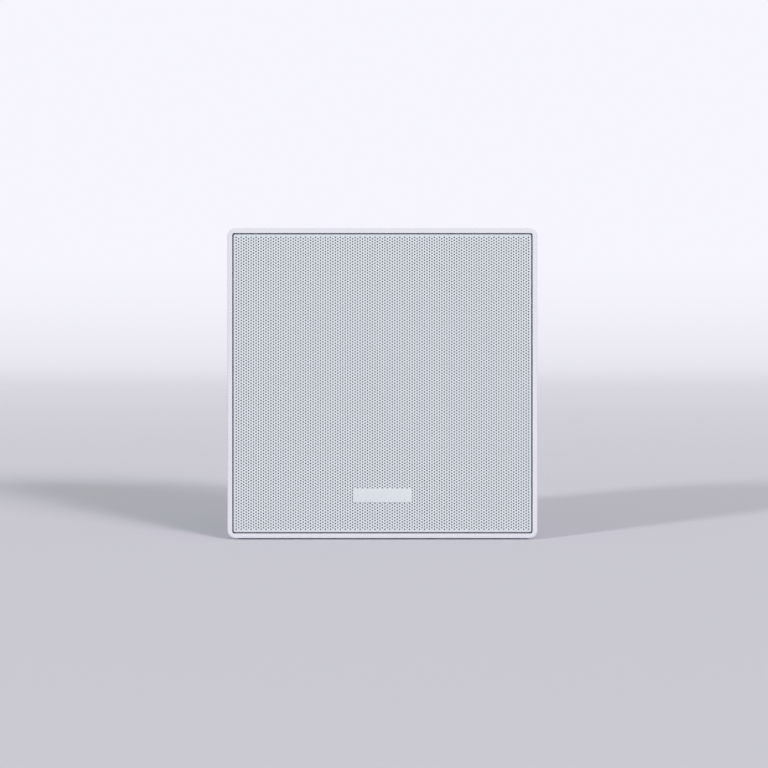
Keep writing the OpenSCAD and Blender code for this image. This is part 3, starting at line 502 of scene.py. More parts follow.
deselect_all()
bpy.ops.mesh.primitive_plane_add(
    size=grille_high.x - grille_low.x,
    location=(0, grille_low.y, BODY_MID),
    rotation=(math.radians(90), 0, 0),
)
border = bpy.context.object
settle(border)
bpy.ops.object.mode_set(mode="EDIT")
bpy.ops.mesh.select_all(action="SELECT")
bpy.ops.mesh.bevel(offset=GRILLE_CORNER_R * MM, segments=6, affect="VERTICES")
bpy.ops.mesh.extrude_region_move(TRANSFORM_OT_translate={"value": (0, grille_high.y - grille_low.y, 0)})
bpy.ops.mesh.delete(type="ONLY_FACE")
bpy.ops.mesh.select_all(action="SELECT")
bpy.ops.mesh.normals_make_consistent(inside=False)
bpy.ops.object.mode_set(mode="OBJECT")
pick_edges(border, lambda a, b: max(a.y, b.y) < grille_low.y + FACE_CLEAR * MM)
bpy.ops.mesh.bevel(offset=BEND_R * MM, segments=4, affect="EDGES")
bpy.ops.object.mode_set(mode="OBJECT")
thicken(border, SHEET)
deselect_all()
bpy.ops.mesh.primitive_cube_add(size=1, location=(0, grille_low.y, BODY_MID))
cutter = bpy.context.object
cutter.scale = (FIELD_W * MM, 4 * SHEET * MM, FIELD_H * MM)
opening = border.modifiers.new("opening", "BOOLEAN")
opening.object = cutter
opening.solver = "EXACT"
apply_modifiers(border)
bpy.data.objects.remove(cutter)
smooth_by_angle(border, 40)
hand_over(border, "grille_border", powder_coat, stands_for=["grille"])


# Grille cloth
# Thin grey cloth is stretched over the back of the sheet. It keeps dust out and hides the driver.
def stripes(look, axis, pitch_mm, centre=(0, 0, 0), rings=False):
    """A wave every pitch_mm along an axis, or in rings about it: threads, wound wire, turned steel."""
    tree = look.node_tree
    where = tree.nodes.new("ShaderNodeTexCoord")
    place = tree.nodes.new("ShaderNodeMapping")
    place.inputs["Location"].default_value = [-part for part in centre]
    wave = tree.nodes.new("ShaderNodeTexWave")
    if rings:
        wave.wave_type = "RINGS"
        wave.rings_direction = axis
    else:
        wave.bands_direction = axis
    wave.inputs["Scale"].default_value = math.pi / (10 * pitch_mm * MM)
    tree.links.new(where.outputs["Object"], place.inputs["Vector"])
    tree.links.new(place.outputs["Vector"], wave.inputs["Vector"])
    return wave.outputs["Fac"]


def combined(look, first, second, operation="MAXIMUM"):
    """Two signals made one."""
    tree = look.node_tree
    both = tree.nodes.new("ShaderNodeMath")
    both.operation = operation
    tree.links.new(first, both.inputs[0])
    tree.links.new(second, both.inputs[1])
    return both.outputs[0]


CLOTH_COLOUR = tint(126, 128, 131)
CLOTH_GAP = tint(84, 85, 87)
CLOTH_PITCH = 0.6
CLOTH_T = 0.6
CLOTH_CLEAR = 0.1
CLOTH_CELLS = 32

cloth_look = new_material("grey_cloth", CLOTH_GAP, 0.95)
weave = combined(cloth_look, stripes(cloth_look, "X", CLOTH_PITCH), stripes(cloth_look, "Z", CLOTH_PITCH))
add_drift(cloth_look, weave, CLOTH_COLOUR, 1.0)
add_bump(cloth_look, weave, 0.12)

cloth_low, cloth_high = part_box("grille_scrim")
cloth_w = cloth_high.x - cloth_low.x
deselect_all()
bpy.ops.mesh.primitive_grid_add(
    x_subdivisions=CLOTH_CELLS,
    y_subdivisions=CLOTH_CELLS,
    size=cloth_w,
    location=(0, cloth_low.y + CLOTH_CLEAR * MM, BODY_MID),
    rotation=(math.radians(90), 0, 0),
)
cloth = bpy.context.object
settle(cloth)
thicken(cloth, CLOTH_T)
hand_over(cloth, "grille_cloth", cloth_look, stands_for=["grille_scrim"])


# Badge plate
# A small plain plate, bare, with rounded edges and a satin finish, glued to the sheet.
BADGE_COLOUR = tint(220, 225, 229)
BADGE_CORNER_R = 0.8
BADGE_EDGE_R = 0.4

satin = new_material("satin_plate", BADGE_COLOUR, 0.34)
add_bump(satin, add_noise(satin, 0.25, 1.0, stretch=(0.1, 1, 1)), 0.004)
add_gloss_drift(satin, add_noise(satin, 0.3, 1.0, stretch=(0.1, 1, 1)), 0.3, 0.4)

badge_low, badge_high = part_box("badge")
deselect_all()
bpy.ops.mesh.primitive_cube_add(size=1, location=(badge_low + badge_high) / 2)
badge = bpy.context.object
badge.scale = badge_high - badge_low
settle(badge)
pick_edges(badge, lambda a, b: abs(a.y - b.y) > FACE_CLEAR * MM)
bpy.ops.mesh.bevel(offset=BADGE_CORNER_R * MM, segments=4, affect="EDGES")
bpy.ops.object.mode_set(mode="OBJECT")
pick_edges(badge, lambda a, b: max(a.y, b.y) < badge_low.y + FACE_CLEAR * MM)
bpy.ops.mesh.bevel(offset=BADGE_EDGE_R * MM, segments=3, affect="EDGES")
bpy.ops.object.mode_set(mode="OBJECT")
smooth_by_angle(badge, 40)
hand_over(badge, "badge_plate", satin, stands_for=["badge"])


# Gaskets
# Flat closed-cell foam: under the driver's flange, between the two mouldings and under the
# input panel. The screws press them.
GASKET_COLOUR = tint(58, 58, 60)
GASKET_SHADE = tint(40, 40, 42)

gasket_foam = new_material("black_foam", GASKET_COLOUR, 0.9)
add_drift(gasket_foam, add_noise(gasket_foam, 0.8, 3.0), GASKET_SHADE, 0.9)
add_bump(gasket_foam, add_noise(gasket_foam, 0.5, 2.0), 0.12)
paint(gasket_foam, "cabinet_gasket", "woofer_gasket", "input_panel_gasket")


# Screws and plated steel
# The long screws from the baffle and the driver's screws are black oxide. The rest, the grille's
# magnets and the driver's turned steel are zinc or nickel plated.
def turned_steel(name, colour, low, high, centre=(0, 0, 0)):
    """Plated steel with the fine rings that a lathe leaves."""
    look = new_material(name, colour, (low + high) / 2, metallic=1.0)
    add_bump(look, stripes(look, "Y", LATHE_PITCH, centre, rings=True), 0.006)
    add_gloss_drift(look, add_noise(look, 4.0), low, high)
    return look


OXIDE_COLOUR = tint(52, 52, 55)
ZINC_COLOUR = tint(206, 207, 210)
NICKEL_COLOUR = tint(214, 211, 204)
LATHE_PITCH = 0.35

frame_low, frame_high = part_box("woofer_frame")
WOOFER_Z = (frame_low.z + frame_high.z) / 2
driver_axis = (0, 0, WOOFER_Z)

black_oxide = new_material("black_oxide", OXIDE_COLOUR, 0.42, metallic=0.6)
add_bump(black_oxide, add_noise(black_oxide, 0.5), 0.02)
add_gloss_drift(black_oxide, add_noise(black_oxide, 1.2), 0.35, 0.5)
paint(black_oxide, "cabinet_screws", "woofer_screws")

zinc = new_material("zinc_plate", ZINC_COLOUR, 0.32, metallic=1.0)
add_bump(zinc, add_noise(zinc, 0.4), 0.008)
add_gloss_drift(zinc, add_noise(zinc, 2.0), 0.25, 0.4)
paint(zinc, "input_panel_screws", "terminal_plug_screws", "selector_nut", "selector_shaft")
paint(zinc, "board_screws", "transformer_frame")

nickel = new_material("nickel_plate", NICKEL_COLOUR, 0.2, metallic=1.0)
add_gloss_drift(nickel, add_noise(nickel, 1.5), 0.15, 0.28)
paint(nickel, "grille_magnets", "tweeter_nut")


# Driver frame
# One aluminium casting with six windows, powder coated black. Eight screws hold its flange.
FRAME_COLOUR = tint(46, 46, 49)

black_coat = new_material("black_powder_coat", FRAME_COLOUR, 0.5)
add_bump(black_coat, add_noise(black_coat, 0.8, 2.0), 0.04)
add_gloss_drift(black_coat, add_noise(black_coat, 2.0), 0.42, 0.6)
paint(black_coat, "woofer_frame")


# Motor
# A pressed ferrite ring between two turned steel plates, with the pole in one piece with the rear
# plate. They are glued, and the nut behind clamps the tweeter's post through them.
FERRITE_COLOUR = tint(74, 74, 78)
FERRITE_SHADE = tint(58, 58, 62)

ferrite = new_material("ground_ferrite", FERRITE_COLOUR, 0.62)
add_drift(ferrite, add_noise(ferrite, 6.0, 3.0), FERRITE_SHADE, 0.8)
add_bump(ferrite, add_noise(ferrite, 0.3, 2.0), 0.02)
paint(ferrite, "woofer_magnet", "tweeter_magnet")

motor_steel = turned_steel("motor_steel", ZINC_COLOUR, 0.28, 0.42, driver_axis)
paint(motor_steel, "woofer_top_plate", "woofer_yoke", "tweeter_post", "tweeter_cup", "tweeter_plate")


# Cone, voice coil and dust ring
# The cone is pressed paper with a dull coating. It is glued to a film former, on which the
# coil is wound in enamelled copper, and a ring of the same paper closes the gap round the post.
PAPER_COLOUR = tint(50, 50, 52)
PAPER_SHADE = tint(34, 34, 36)
FILM_COLOUR = tint(176, 132, 72)
COPPER_COLOUR = tint(196, 112, 62)
COPPER_SHADE = tint(140, 74, 40)
CONE_RING = 9.0
WIRE_D = 0.35
COIL_STEPS = 72

paper = new_material("coated_paper", PAPER_COLOUR, 0.75)
add_drift(paper, add_noise(paper, 3.0, 5.0), PAPER_SHADE, 0.8)
add_bump(paper, add_noise(paper, 0.9, 5.0), 0.06)
add_bump(paper, stripes(paper, "Y", CONE_RING, driver_axis, rings=True), 0.12)
paint(paper, "woofer_cone", "dust_ring")

film = new_material("former_film", FILM_COLOUR, 0.35)
add_gloss_drift(film, add_noise(film, 3.0), 0.28, 0.42)
paint(film, "voice_coil_former")


def drawn(line, centre=(0, 0)):
    """A line drawn point by point beside an axis, as radii and depths, with the axis's X and Z."""
    deselect_all()
    start = ((centre[0] + line[0][0]) * MM, line[0][1] * MM, centre[1] * MM)
    bpy.ops.mesh.primitive_plane_add(size=MM, location=start)
    piece = bpy.context.object
    settle(piece)
    bpy.ops.object.mode_set(mode="EDIT")
    bpy.ops.mesh.select_mode(type="VERT")
    bpy.ops.mesh.select_all(action="SELECT")
    bpy.ops.mesh.merge(type="CENTER")
    for earlier, later in zip(line, line[1:]):
        step = ((later[0] - earlier[0]) * MM, (later[1] - earlier[1]) * MM, 0)
        bpy.ops.mesh.extrude_region_move(TRANSFORM_OT_translate={"value": step})
    bpy.ops.object.mode_set(mode="OBJECT")
    return piece


def turned(line, steps, centre=(0, 0)):
    """A shape turned about an axis along Y. Where the line ends at its start, the shape is closed."""
    piece = drawn(line, centre)
    bpy.ops.object.mode_set(mode="EDIT")
    bpy.ops.mesh.select_all(action="SELECT")
    bpy.ops.mesh.spin(
        steps=steps, angle=math.tau, center=(centre[0] * MM, 0, centre[1] * MM), axis=(0, 1, 0)
    )
    bpy.ops.mesh.select_all(action="SELECT")
    bpy.ops.mesh.remove_doubles(threshold=0.005 * MM)
    bpy.ops.mesh.normals_make_consistent(inside=False)
    bpy.ops.object.mode_set(mode="OBJECT")
    return piece


def wound_coil(inner, outer, start, end, wire, steps, centre=(0, 0)):
    """Turns of round wire side by side, closed behind by the face that lies on the former."""
    count = round((end - start) / wire)
    pitch = (end - start) / count
    line = [(inner, start)]
    for turn in range(count):
        for share in (0.02, 0.2, 0.5, 0.8, 0.98):
            bulge = math.sqrt(max(0.25 - (share - 0.5) ** 2, 0))
            line.append((outer - pitch * (0.5 - bulge), start + pitch * (turn + share)))
    coil = turned(line + [(inner, end), (inner, start)], steps, centre)
    smooth_by_angle(coil, 60)
    return coil


wire_look = new_material("enamelled_wire", COPPER_COLOUR, 0.3, metallic=0.85)
add_drift(wire_look, add_noise(wire_look, 5.0), COPPER_SHADE, 0.7)
add_gloss_drift(wire_look, add_noise(wire_look, 2.0), 0.24, 0.38)
paint(wire_look, "tweeter_coil")

former_low, former_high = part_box("voice_coil_former")
coil_low, coil_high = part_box("voice_coil_winding")
former_r = former_high.x / MM
voice_coil = wound_coil(
    former_r,
    coil_high.x / MM,
    coil_low.y / MM,
    coil_high.y / MM,
    WIRE_D,
    COIL_STEPS,
    centre=(0, WOOFER_Z / MM),
)
hand_over(
    voice_coil,
    "voice_coil",
    wire_look,
    body="cone_assembly",
    stands_for=["voice_coil_winding"],
)


# Surround and spider
# The surround is a half roll of rubber, the spider a waved disc of treated cloth. Both are glued to
# the driver's frame outside and to the moving parts inside, and they bend between the two.
def half_roll(middle, radius, depth, fillet, steps=6):
    """A half roll that bulges forwards, with a small hollow fillet at each foot."""
    reach = math.sqrt((radius + fillet) ** 2 - fillet**2)
    lift = math.asin(fillet / (radius + fillet))
    foot = []
    for step in range(steps):
        angle = (math.pi / 2 - lift) * step / steps
        foot.append((-reach + fillet * math.sin(angle), -fillet * (1 - math.cos(angle))))
    crown = []
    for step in range(2 * steps + 1):
        angle = lift + (math.pi - 2 * lift) * step / (2 * steps)
        crown.append((-radius * math.cos(angle), -radius * math.sin(angle)))
    points = foot + crown + [(-across, down) for across, down in reversed(foot)]
    return [(middle + across, depth + down) for across, down in points]


def rolled_edge(node, thickness, outer_flat, inner_flat, fillet, steps):
    """A half-roll edge as deep and as wide as its CAD node, and the radii between which it bends."""
    low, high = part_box(node)
    outer = high.x / MM
    depth = high.y / MM - thickness / 2
    radius = (high.y - low.y) / MM - thickness
    middle = outer - outer_flat - radius
    line = half_roll(middle, radius, depth, fillet)
    line = [(middle - radius - inner_flat, depth), *line, (outer, depth)]
    edge = turned(line, steps, (0, WOOFER_Z / MM))
    thicken(edge, thickness, side=0)
    smooth_by_angle(edge, 50)
    return edge, middle - radius, middle + radius


def bend_between(piece, body, inner, outer):
    """The piece stays with the cabinet beyond the outer radius and with a moving body inside the inner."""
    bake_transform(piece, "cabinet", body, (outer * MM, 0, WOOFER_Z), (inner * MM, 0, WOOFER_Z))
    for point, share in zip(piece.data.vertices, piece.data.attributes["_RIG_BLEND"].data):
        radius = math.hypot(point.co.x, point.co.z - WOOFER_Z) / MM
        reach = min(max((outer - radius) / (outer - inner), 0), 1)
        share.value = reach * reach * (3 - 2 * reach)


RUBBER_COLOUR = tint(40, 40, 42)
RUBBER_SHADE = tint(52, 52, 53)
SPIDER_COLOUR = tint(206, 172, 96)
SPIDER_SHADE = tint(150, 116, 52)
SURROUND_T = 0.7
SURROUND_OUT = 6.0
SURROUND_IN = 5.0
SPIDER_T = 0.7
SPIDER_FLAT = 3.5
SPIDER_GLUE = 8.5
SPIDER_ROLLS = 6
ROLL_STEPS = 8
THREAD_PITCH = 0.7

rubber = new_material("black_rubber", RUBBER_COLOUR, 0.6)
add_drift(rubber, add_noise(rubber, 8.0, 3.0), RUBBER_SHADE, 0.6)
add_bump(rubber, add_noise(rubber, 0.6, 2.0), 0.03)
add_gloss_drift(rubber, add_noise(rubber, 3.0), 0.5, 0.7)
surround, surround_in, surround_out = rolled_edge(
    "woofer_surround", SURROUND_T, SURROUND_OUT, SURROUND_IN, fillet=1.0, steps=128
)
hand_over(
    surround, "rubber_surround", rubber, body=None, stands_for=["woofer_surround"]
)
bend_between(surround, "cone_assembly", surround_in, surround_out)

spider_look = new_material("treated_cloth", SPIDER_SHADE, 0.85)
weave = combined(
    spider_look, stripes(spider_look, "X", THREAD_PITCH), stripes(spider_look, "Z", THREAD_PITCH)
)
add_drift(spider_look, weave, SPIDER_COLOUR, 1.0)
add_bump(spider_look, weave, 0.1)

spider_low, spider_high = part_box("woofer_spider")
spider_out = spider_high.x / MM - SPIDER_GLUE
spider_in = former_r + SPIDER_FLAT
spider_mid = (spider_low.y + spider_high.y) / 2 / MM
spider_rise = ((spider_high.y - spider_low.y) / MM - SPIDER_T) / 2
line = [(former_r, spider_mid)]
for step in range(ROLL_STEPS * SPIDER_ROLLS + 1):
    share = step / (ROLL_STEPS * SPIDER_ROLLS)
    wave = spider_rise * math.sin(math.pi * SPIDER_ROLLS * share)
    line.append((spider_in + (spider_out - spider_in) * share, spider_mid + wave))
line.append((spider_high.x / MM, spider_mid))
spider = turned(line, 96, (0, WOOFER_Z / MM))
thicken(spider, SPIDER_T, side=0)
smooth_by_angle(spider, 60)
hand_over(
    spider, "cloth_spider", spider_look, body=None, stands_for=["woofer_spider"]
)
bend_between(spider, "cone_assembly", spider_in, spider_out)


# Driver's soldering lugs and tinsel leads
# Two tinned lugs are riveted to a strip of phenolic board on the frame's neck. Two braided leads
# run from them through a window of the frame to the back of the cone, and bend with it.
def zone(look, axis, low, high):
    """1 between two places along an axis, in millimetres, and 0 beyond them."""
    tree = look.node_tree
    where = tree.nodes.new("ShaderNodeTexCoord")
    apart = tree.nodes.new("ShaderNodeSeparateXYZ")
    tree.links.new(where.outputs["Object"], apart.inputs[0])
    sides = []
    for operation, limit in (("GREATER_THAN", low), ("LESS_THAN", high)):
        side = tree.nodes.new("ShaderNodeMath")
        side.operation = operation
        side.inputs[1].default_value = limit * MM
        tree.links.new(apart.outputs[axis], side.inputs[0])
        sides.append(side.outputs[0])
    return combined(look, *sides, operation="MULTIPLY")


PHENOLIC_COLOUR = tint(124, 84, 52)
TIN_COLOUR = tint(204, 202, 196)
BRAID_COLOUR = tint(206, 138, 92)
STRIP_T = 2.5
BRAID_PITCH = 0.45
BRAID_FROM = -78.0
BRAID_TO = -90.0

lugs_look = new_material("strip_and_lugs", PHENOLIC_COLOUR, 0.5)
add_drift(lugs_look, add_noise(lugs_look, 1.2, 4.0, stretch=(1, 0.2, 1)), COPPER_SHADE, 0.3)
lugs_low, lugs_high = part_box("woofer_terminals")
lugs = zone(lugs_look, "X", lugs_low.x / MM + STRIP_T, lugs_high.x / MM + 1)
add_drift(lugs_look, lugs, TIN_COLOUR, 1.0)
lugs_look.node_tree.links.new(lugs, lugs_look.node_tree.nodes["Principled BSDF"].inputs["Metallic"])
add_gloss_drift(lugs_look, add_noise(lugs_look, 1.0), 0.3, 0.5)
paint(lugs_look, "woofer_terminals")

braid = new_material("braided_copper", COPPER_SHADE, 0.38, metallic=0.9)
strands = combined(
    braid, stripes(braid, "DIAGONAL", BRAID_PITCH), stripes(braid, "Y", BRAID_PITCH * 1.3), "MULTIPLY"
)
add_drift(braid, strands, BRAID_COLOUR, 1.0)
add_bump(braid, strands, 0.12)
leads = welded("tinsel_leads")
hand_over(leads, "braided_leads", braid, body=None, stands_for=["tinsel_leads"])
fixed_end, moving_end = (0, BRAID_FROM * MM, WOOFER_Z), (0, BRAID_TO * MM, WOOFER_Z)
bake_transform(leads, "cabinet", "cone_assembly", fixed_end, moving_end)


# Tweeter
# A spun aluminium dome on its own small coil, held by a soft film roll. A moulded waveguide
# round it opens towards the grille.
FOIL_COLOUR = tint(214, 216, 220)
FOIL_RING = 0.25
FILM_ROLL_COLOUR = tint(58, 58, 60)
PLASTIC_COLOUR = tint(42, 42, 44)
PLASTIC_SHADE = tint(52, 52, 54)
ROLL_T = 0.3
ROLL_OUT = 1.5
ROLL_IN = 0.4

foil = new_material("spun_foil", FOIL_COLOUR, 0.25, metallic=1.0)
add_bump(foil, stripes(foil, "Y", FOIL_RING, driver_axis, rings=True), 0.003)
add_gloss_drift(foil, add_noise(foil, 3.0), 0.18, 0.32)
paint(foil, "tweeter_dome")

roll_film = new_material("soft_film", FILM_ROLL_COLOUR, 0.55)
add_bump(roll_film, add_noise(roll_film, 0.25, 2.0), 0.01)
add_gloss_drift(roll_film, add_noise(roll_film, 1.0), 0.45, 0.65)
film_roll, roll_in, roll_out = rolled_edge(
    "tweeter_suspension", ROLL_T, ROLL_OUT, ROLL_IN, fillet=0.2, steps=96
)
hand_over(
    film_roll, "film_roll", roll_film, body=None, stands_for=["tweeter_suspension"]
)
bend_between(film_roll, "dome_assembly", roll_in, roll_out)

black_plastic = new_material("black_plastic", PLASTIC_COLOUR, 0.5)
add_drift(black_plastic, add_noise(black_plastic, 12.0), PLASTIC_SHADE, 0.5)
add_bump(black_plastic, add_noise(black_plastic, 0.5, 2.0), 0.03)
add_gloss_drift(black_plastic, add_noise(black_plastic, 1.5), 0.42, 0.58)
paint(black_plastic, "tweeter_waveguide", "port_tube_left", "port_tube_right")
paint(black_plastic, "selector_switch", "selector_knob")


# Input panel
# A plate of steel, powder coated black and screwed over its foam gasket. Plain white figures are
# printed round the selector, and a white line is let into the knob's pointer.
MARK_COLOUR = tint(226, 226, 224)
MARK_T = 0.12
MARK_W = 0.6
MARK_L = 2.4
MARK_R = 14.6
FIGURE_R = 19.2
FIGURE_H = 3.6
SETTINGS = 6
POINTER_W = 0.9
POINTER_L = 6.0
POINTER_T = 0.6
POINTER_SUNK = 0.1
POINTER_INSET = 3.0
POINTER_EDGE_R = 0.15

paint(black_coat, "input_panel")
ink = new_material("white_ink", MARK_COLOUR, 0.6)
add_bump(ink, add_noise(ink, 0.3), 0.01)
add_drift(ink, add_noise(ink, 1.0), MOULDING_SHADE, 0.5)

panel_low, panel_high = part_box("input_panel")
knob_low, knob_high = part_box("selector_knob")
knob_middle = (knob_low + knob_high) / 2
joints = frame["record"]["behaviour"]["joints"]
selector_joint = next(joint for joint in joints if joint["name"] == "selector_turn")
turn_range = math.radians(selector_joint["range_deg"][1])
ink_pieces = []
for setting in range(SETTINGS):
    angle = turn_range * setting / (SETTINGS - 1)
    outwards = Vector((-math.sin(angle), 0, math.cos(angle)))
    surface = Vector((knob_middle.x, panel_high.y + MARK_T / 2 * MM, knob_middle.z))
    deselect_all()
    bpy.ops.mesh.primitive_cube_add(size=1, location=surface + outwards * MARK_R * MM)
    mark = bpy.context.object
    mark.scale = (MARK_W * MM, MARK_T * MM, MARK_L * MM)
    mark.rotation_euler.y = -angle
    settle(mark)
    ink_pieces.append(mark)

    deselect_all()
    bpy.ops.object.text_add(
        location=surface + outwards * FIGURE_R * MM, rotation=(math.pi / 2, 0, math.pi)
    )
    figure = bpy.context.object
    figure.data.body = str(setting + 1)
    figure.data.align_x = "CENTER"
    figure.data.align_y = "CENTER"
    figure.data.size = FIGURE_H * MM
    figure.data.extrude = MARK_T / 2 * MM
    figure.data.resolution_u = 4
    bpy.ops.object.convert(target="MESH")
    figure = bpy.context.object
    settle(figure)
    ink_pieces.append(figure)
marks = joined(*ink_pieces)
hand_over(marks, "selector_figures", ink)

deselect_all()
bpy.ops.mesh.primitive_cube_add(
    size=1,
    location=(
        knob_middle.x,
        knob_high.y - POINTER_SUNK * MM,
        knob_high.z - (POINTER_INSET + POINTER_L / 2) * MM,
    ),
)
pointer = bpy.context.object
pointer.scale = (POINTER_W * MM, POINTER_T * MM, POINTER_L * MM)
settle(pointer)
pick_edges(pointer, lambda a, b: min(a.y, b.y) > knob_high.y)
bpy.ops.mesh.bevel(offset=POINTER_EDGE_R * MM, segments=2, affect="EDGES")
bpy.ops.object.mode_set(mode="OBJECT")
hand_over(pointer, "pointer_line", ink, body="selector")


# Terminal block
# A header and its plug in green polyamide carry the line in and on. The plug's wires are held by
# zinc plated screws, sunk in its top.
GREEN_COLOUR = tint(62, 138, 84)
GREEN_SHADE = tint(48, 118, 72)

green = new_material("green_polyamide", GREEN_COLOUR, 0.45)
add_drift(green, add_noise(green, 6.0), GREEN_SHADE, 0.7)
add_bump(green, add_noise(green, 0.5, 2.0), 0.02)
add_gloss_drift(green, add_noise(green, 1.5), 0.38, 0.52)
paint(green, "terminal_header", "terminal_plug")


# Crossover board
# Green glass-fibre board with tinned tracks, on hexagonal brass spacers behind the input panel.
# It carries the chokes, the capacitors, the resistors and the line transformer.
BOARD_COLOUR = tint(34, 92, 56)
TRACK_COLOUR = tint(70, 132, 84)
TRACK_PITCH = 5.08
TRACK_EDGE = 0.9
BRASS_COLOUR = tint(206, 170, 96)

board = new_material("glass_fibre_board", BOARD_COLOUR, 0.35)
tracks = combined(board, stripes(board, "X", TRACK_PITCH), stripes(board, "Z", 2 * TRACK_PITCH))
sharp = board.node_tree.nodes.new("ShaderNodeMath")
sharp.operation = "GREATER_THAN"
sharp.inputs[1].default_value = TRACK_EDGE
board.node_tree.links.new(tracks, sharp.inputs[0])
add_drift(board, add_noise(board, 0.8, 2.0), TRACK_COLOUR, 0.15)
add_drift(board, sharp.outputs[0], TRACK_COLOUR, 0.85)
add_gloss_drift(board, add_noise(board, 2.0), 0.28, 0.42)
paint(board, "crossover_board")

brass = new_material("turned_brass", BRASS_COLOUR, 0.3, metallic=1.0)
add_bump(brass, add_noise(brass, 0.3), 0.008)
add_gloss_drift(brass, add_noise(brass, 1.5), 0.22, 0.38)
paint(brass, "board_spacers")


# Chokes
# Each is a coil of enamelled copper wire on a black bobbin, glued to the board by its flange.
BOBBIN_FLANGE = 1.5
BOBBIN_CORE = 0.45
BOBBIN_BORE = 0.35
BOBBIN_EDGE = 0.3
BOBBIN_STEPS = 64
COIL_BELOW_RIM = 1.0
COIL_CLEAR = 0.05


def choke(node, wire):
    """A bobbin and its winding, as large as their CAD node, with a wire so thick."""
    low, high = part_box(node)
    low, high = low / MM, high / MM
    centre = ((low.x + high.x) / 2, (low.z + high.z) / 2)
    rim = (high.x - low.x) / 2
    core, bore = rim * BOBBIN_CORE, rim * BOBBIN_BORE
    first, last = low.y + BOBBIN_FLANGE, high.y - BOBBIN_FLANGE
    side = [(rim - BOBBIN_EDGE, low.y), (rim, low.y + BOBBIN_EDGE), (rim, first), (core, first)]
    far_side = [(radius, low.y + high.y - depth) for radius, depth in reversed(side)]
    line = [(bore, low.y), *side, *far_side, (bore, high.y), (bore, low.y)]
    bobbin = turned(line, BOBBIN_STEPS, centre)
    smooth_by_angle(bobbin, 40)
    hand_over(bobbin, node + "_bobbin", black_plastic, stands_for=[node])
    coil = wound_coil(
        core + COIL_CLEAR,
        rim - COIL_BELOW_RIM,
        first + COIL_CLEAR,
        last - COIL_CLEAR,
        wire,
        BOBBIN_STEPS,
        centre,
    )
    hand_over(coil, node + "_wire", wire_look, stands_for=[node])


choke("woofer_choke", wire=1.1)
choke("tweeter_choke", wire=0.8)


# Capacitors and resistors
# The capacitors are wound in yellow film with cast ends and tinned wires. The resistors are
# cast in white ceramic.
FILM_WRAP_COLOUR = tint(224, 174, 62)
FILM_WRAP_SHADE = tint(206, 150, 44)
CAST_END_COLOUR = tint(196, 140, 50)
CERAMIC_COLOUR = tint(228, 226, 218)
CERAMIC_SHADE = tint(208, 206, 198)
CAPACITORS = 2
CAPACITOR_STEPS = 48
WIRE_END = 2.0
WIRE_R = 0.5
CAST_END = 1.6
CAST_ROUND = 1.0
ROUND_STEPS = 4
SEAM = 0.01

caps_low, caps_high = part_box("crossover_capacitors")
caps_low, caps_high = caps_low / MM, caps_high / MM
cap_d = caps_high.y - caps_low.y
body_from, body_to = caps_low.x + WIRE_END, caps_high.x - WIRE_END

wrap = new_material("film_wrap", CAST_END_COLOUR, 0.4)
wrapped = zone(wrap, "X", body_from + CAST_END, body_to - CAST_END)
add_drift(wrap, wrapped, FILM_WRAP_COLOUR, 1.0)
add_drift(wrap, add_noise(wrap, 5.0), FILM_WRAP_SHADE, 0.5)
wires = combined(
    wrap,
    zone(wrap, "X", body_from - 2 * WIRE_END, body_from - SEAM),
    zone(wrap, "X", body_to + SEAM, body_to + 2 * WIRE_END),
)
add_drift(wrap, wires, TIN_COLOUR, 1.0)
wrap.node_tree.links.new(wires, wrap.node_tree.nodes["Principled BSDF"].inputs["Metallic"])
add_gloss_drift(wrap, add_noise(wrap, 2.0), 0.32, 0.48)

half = cap_d / 2
body_l = body_to - body_from
end = [(0, -WIRE_END), (WIRE_R, -WIRE_END), (WIRE_R, 0), (half - CAST_ROUND, 0)]
for step in range(1, ROUND_STEPS + 1):
    angle = math.pi / 2 * step / ROUND_STEPS
    end.append((half - CAST_ROUND * (1 - math.sin(angle)), CAST_ROUND * (1 - math.cos(angle))))
line = end + [(radius, body_l - depth) for radius, depth in reversed(end)]
for place in range(CAPACITORS):
    can = turned(line, CAPACITOR_STEPS)
    can.rotation_euler.z = -math.pi / 2
    height = caps_high.z - half - place * (caps_high.z - caps_low.z - cap_d) / (CAPACITORS - 1)
    can.location = [part * MM for part in (body_from, (caps_low.y + caps_high.y) / 2, height)]
    settle(can)
    smooth_by_angle(can, 40)
    hand_over(can, f"capacitor_{place + 1}", wrap, stands_for=["crossover_capacitors"])

ceramic = new_material("cast_ceramic", CERAMIC_COLOUR, 0.75)
add_drift(ceramic, add_noise(ceramic, 1.5, 4.0), CERAMIC_SHADE, 0.7)
add_bump(ceramic, add_noise(ceramic, 0.6, 3.0), 0.06)
paint(ceramic, "crossover_resistors")


# Line transformer
# A stack of silicon steel sheets round a wound bobbin, held by two plated straps on the board.
LAMINATION = 0.5
CORE_COLOUR = tint(104, 104, 108)
CORE_SHADE = tint(66, 66, 70)
TURN_PITCH = 0.8

core_steel = new_material("stacked_sheets", CORE_COLOUR, 0.5, metallic=0.8)
sheets = stripes(core_steel, "Y", LAMINATION)
add_drift(core_steel, sheets, CORE_SHADE, 0.8)
add_bump(core_steel, sheets, 0.05)
paint(core_steel, "transformer_core")

layers = new_material("wound_layers", COPPER_COLOUR, 0.3, metallic=0.85)
turns = stripes(layers, "Z", TURN_PITCH)
add_drift(layers, turns, COPPER_SHADE, 0.5)
add_bump(layers, turns, 0.25)
paint(layers, "transformer_winding")


# Inner leads
# Two soft-sheathed leads run from the driver to the board, held at both ends by solder.
SHEATH_COLOUR = tint(64, 64, 66)
SHEATH_SHADE = tint(48, 48, 50)

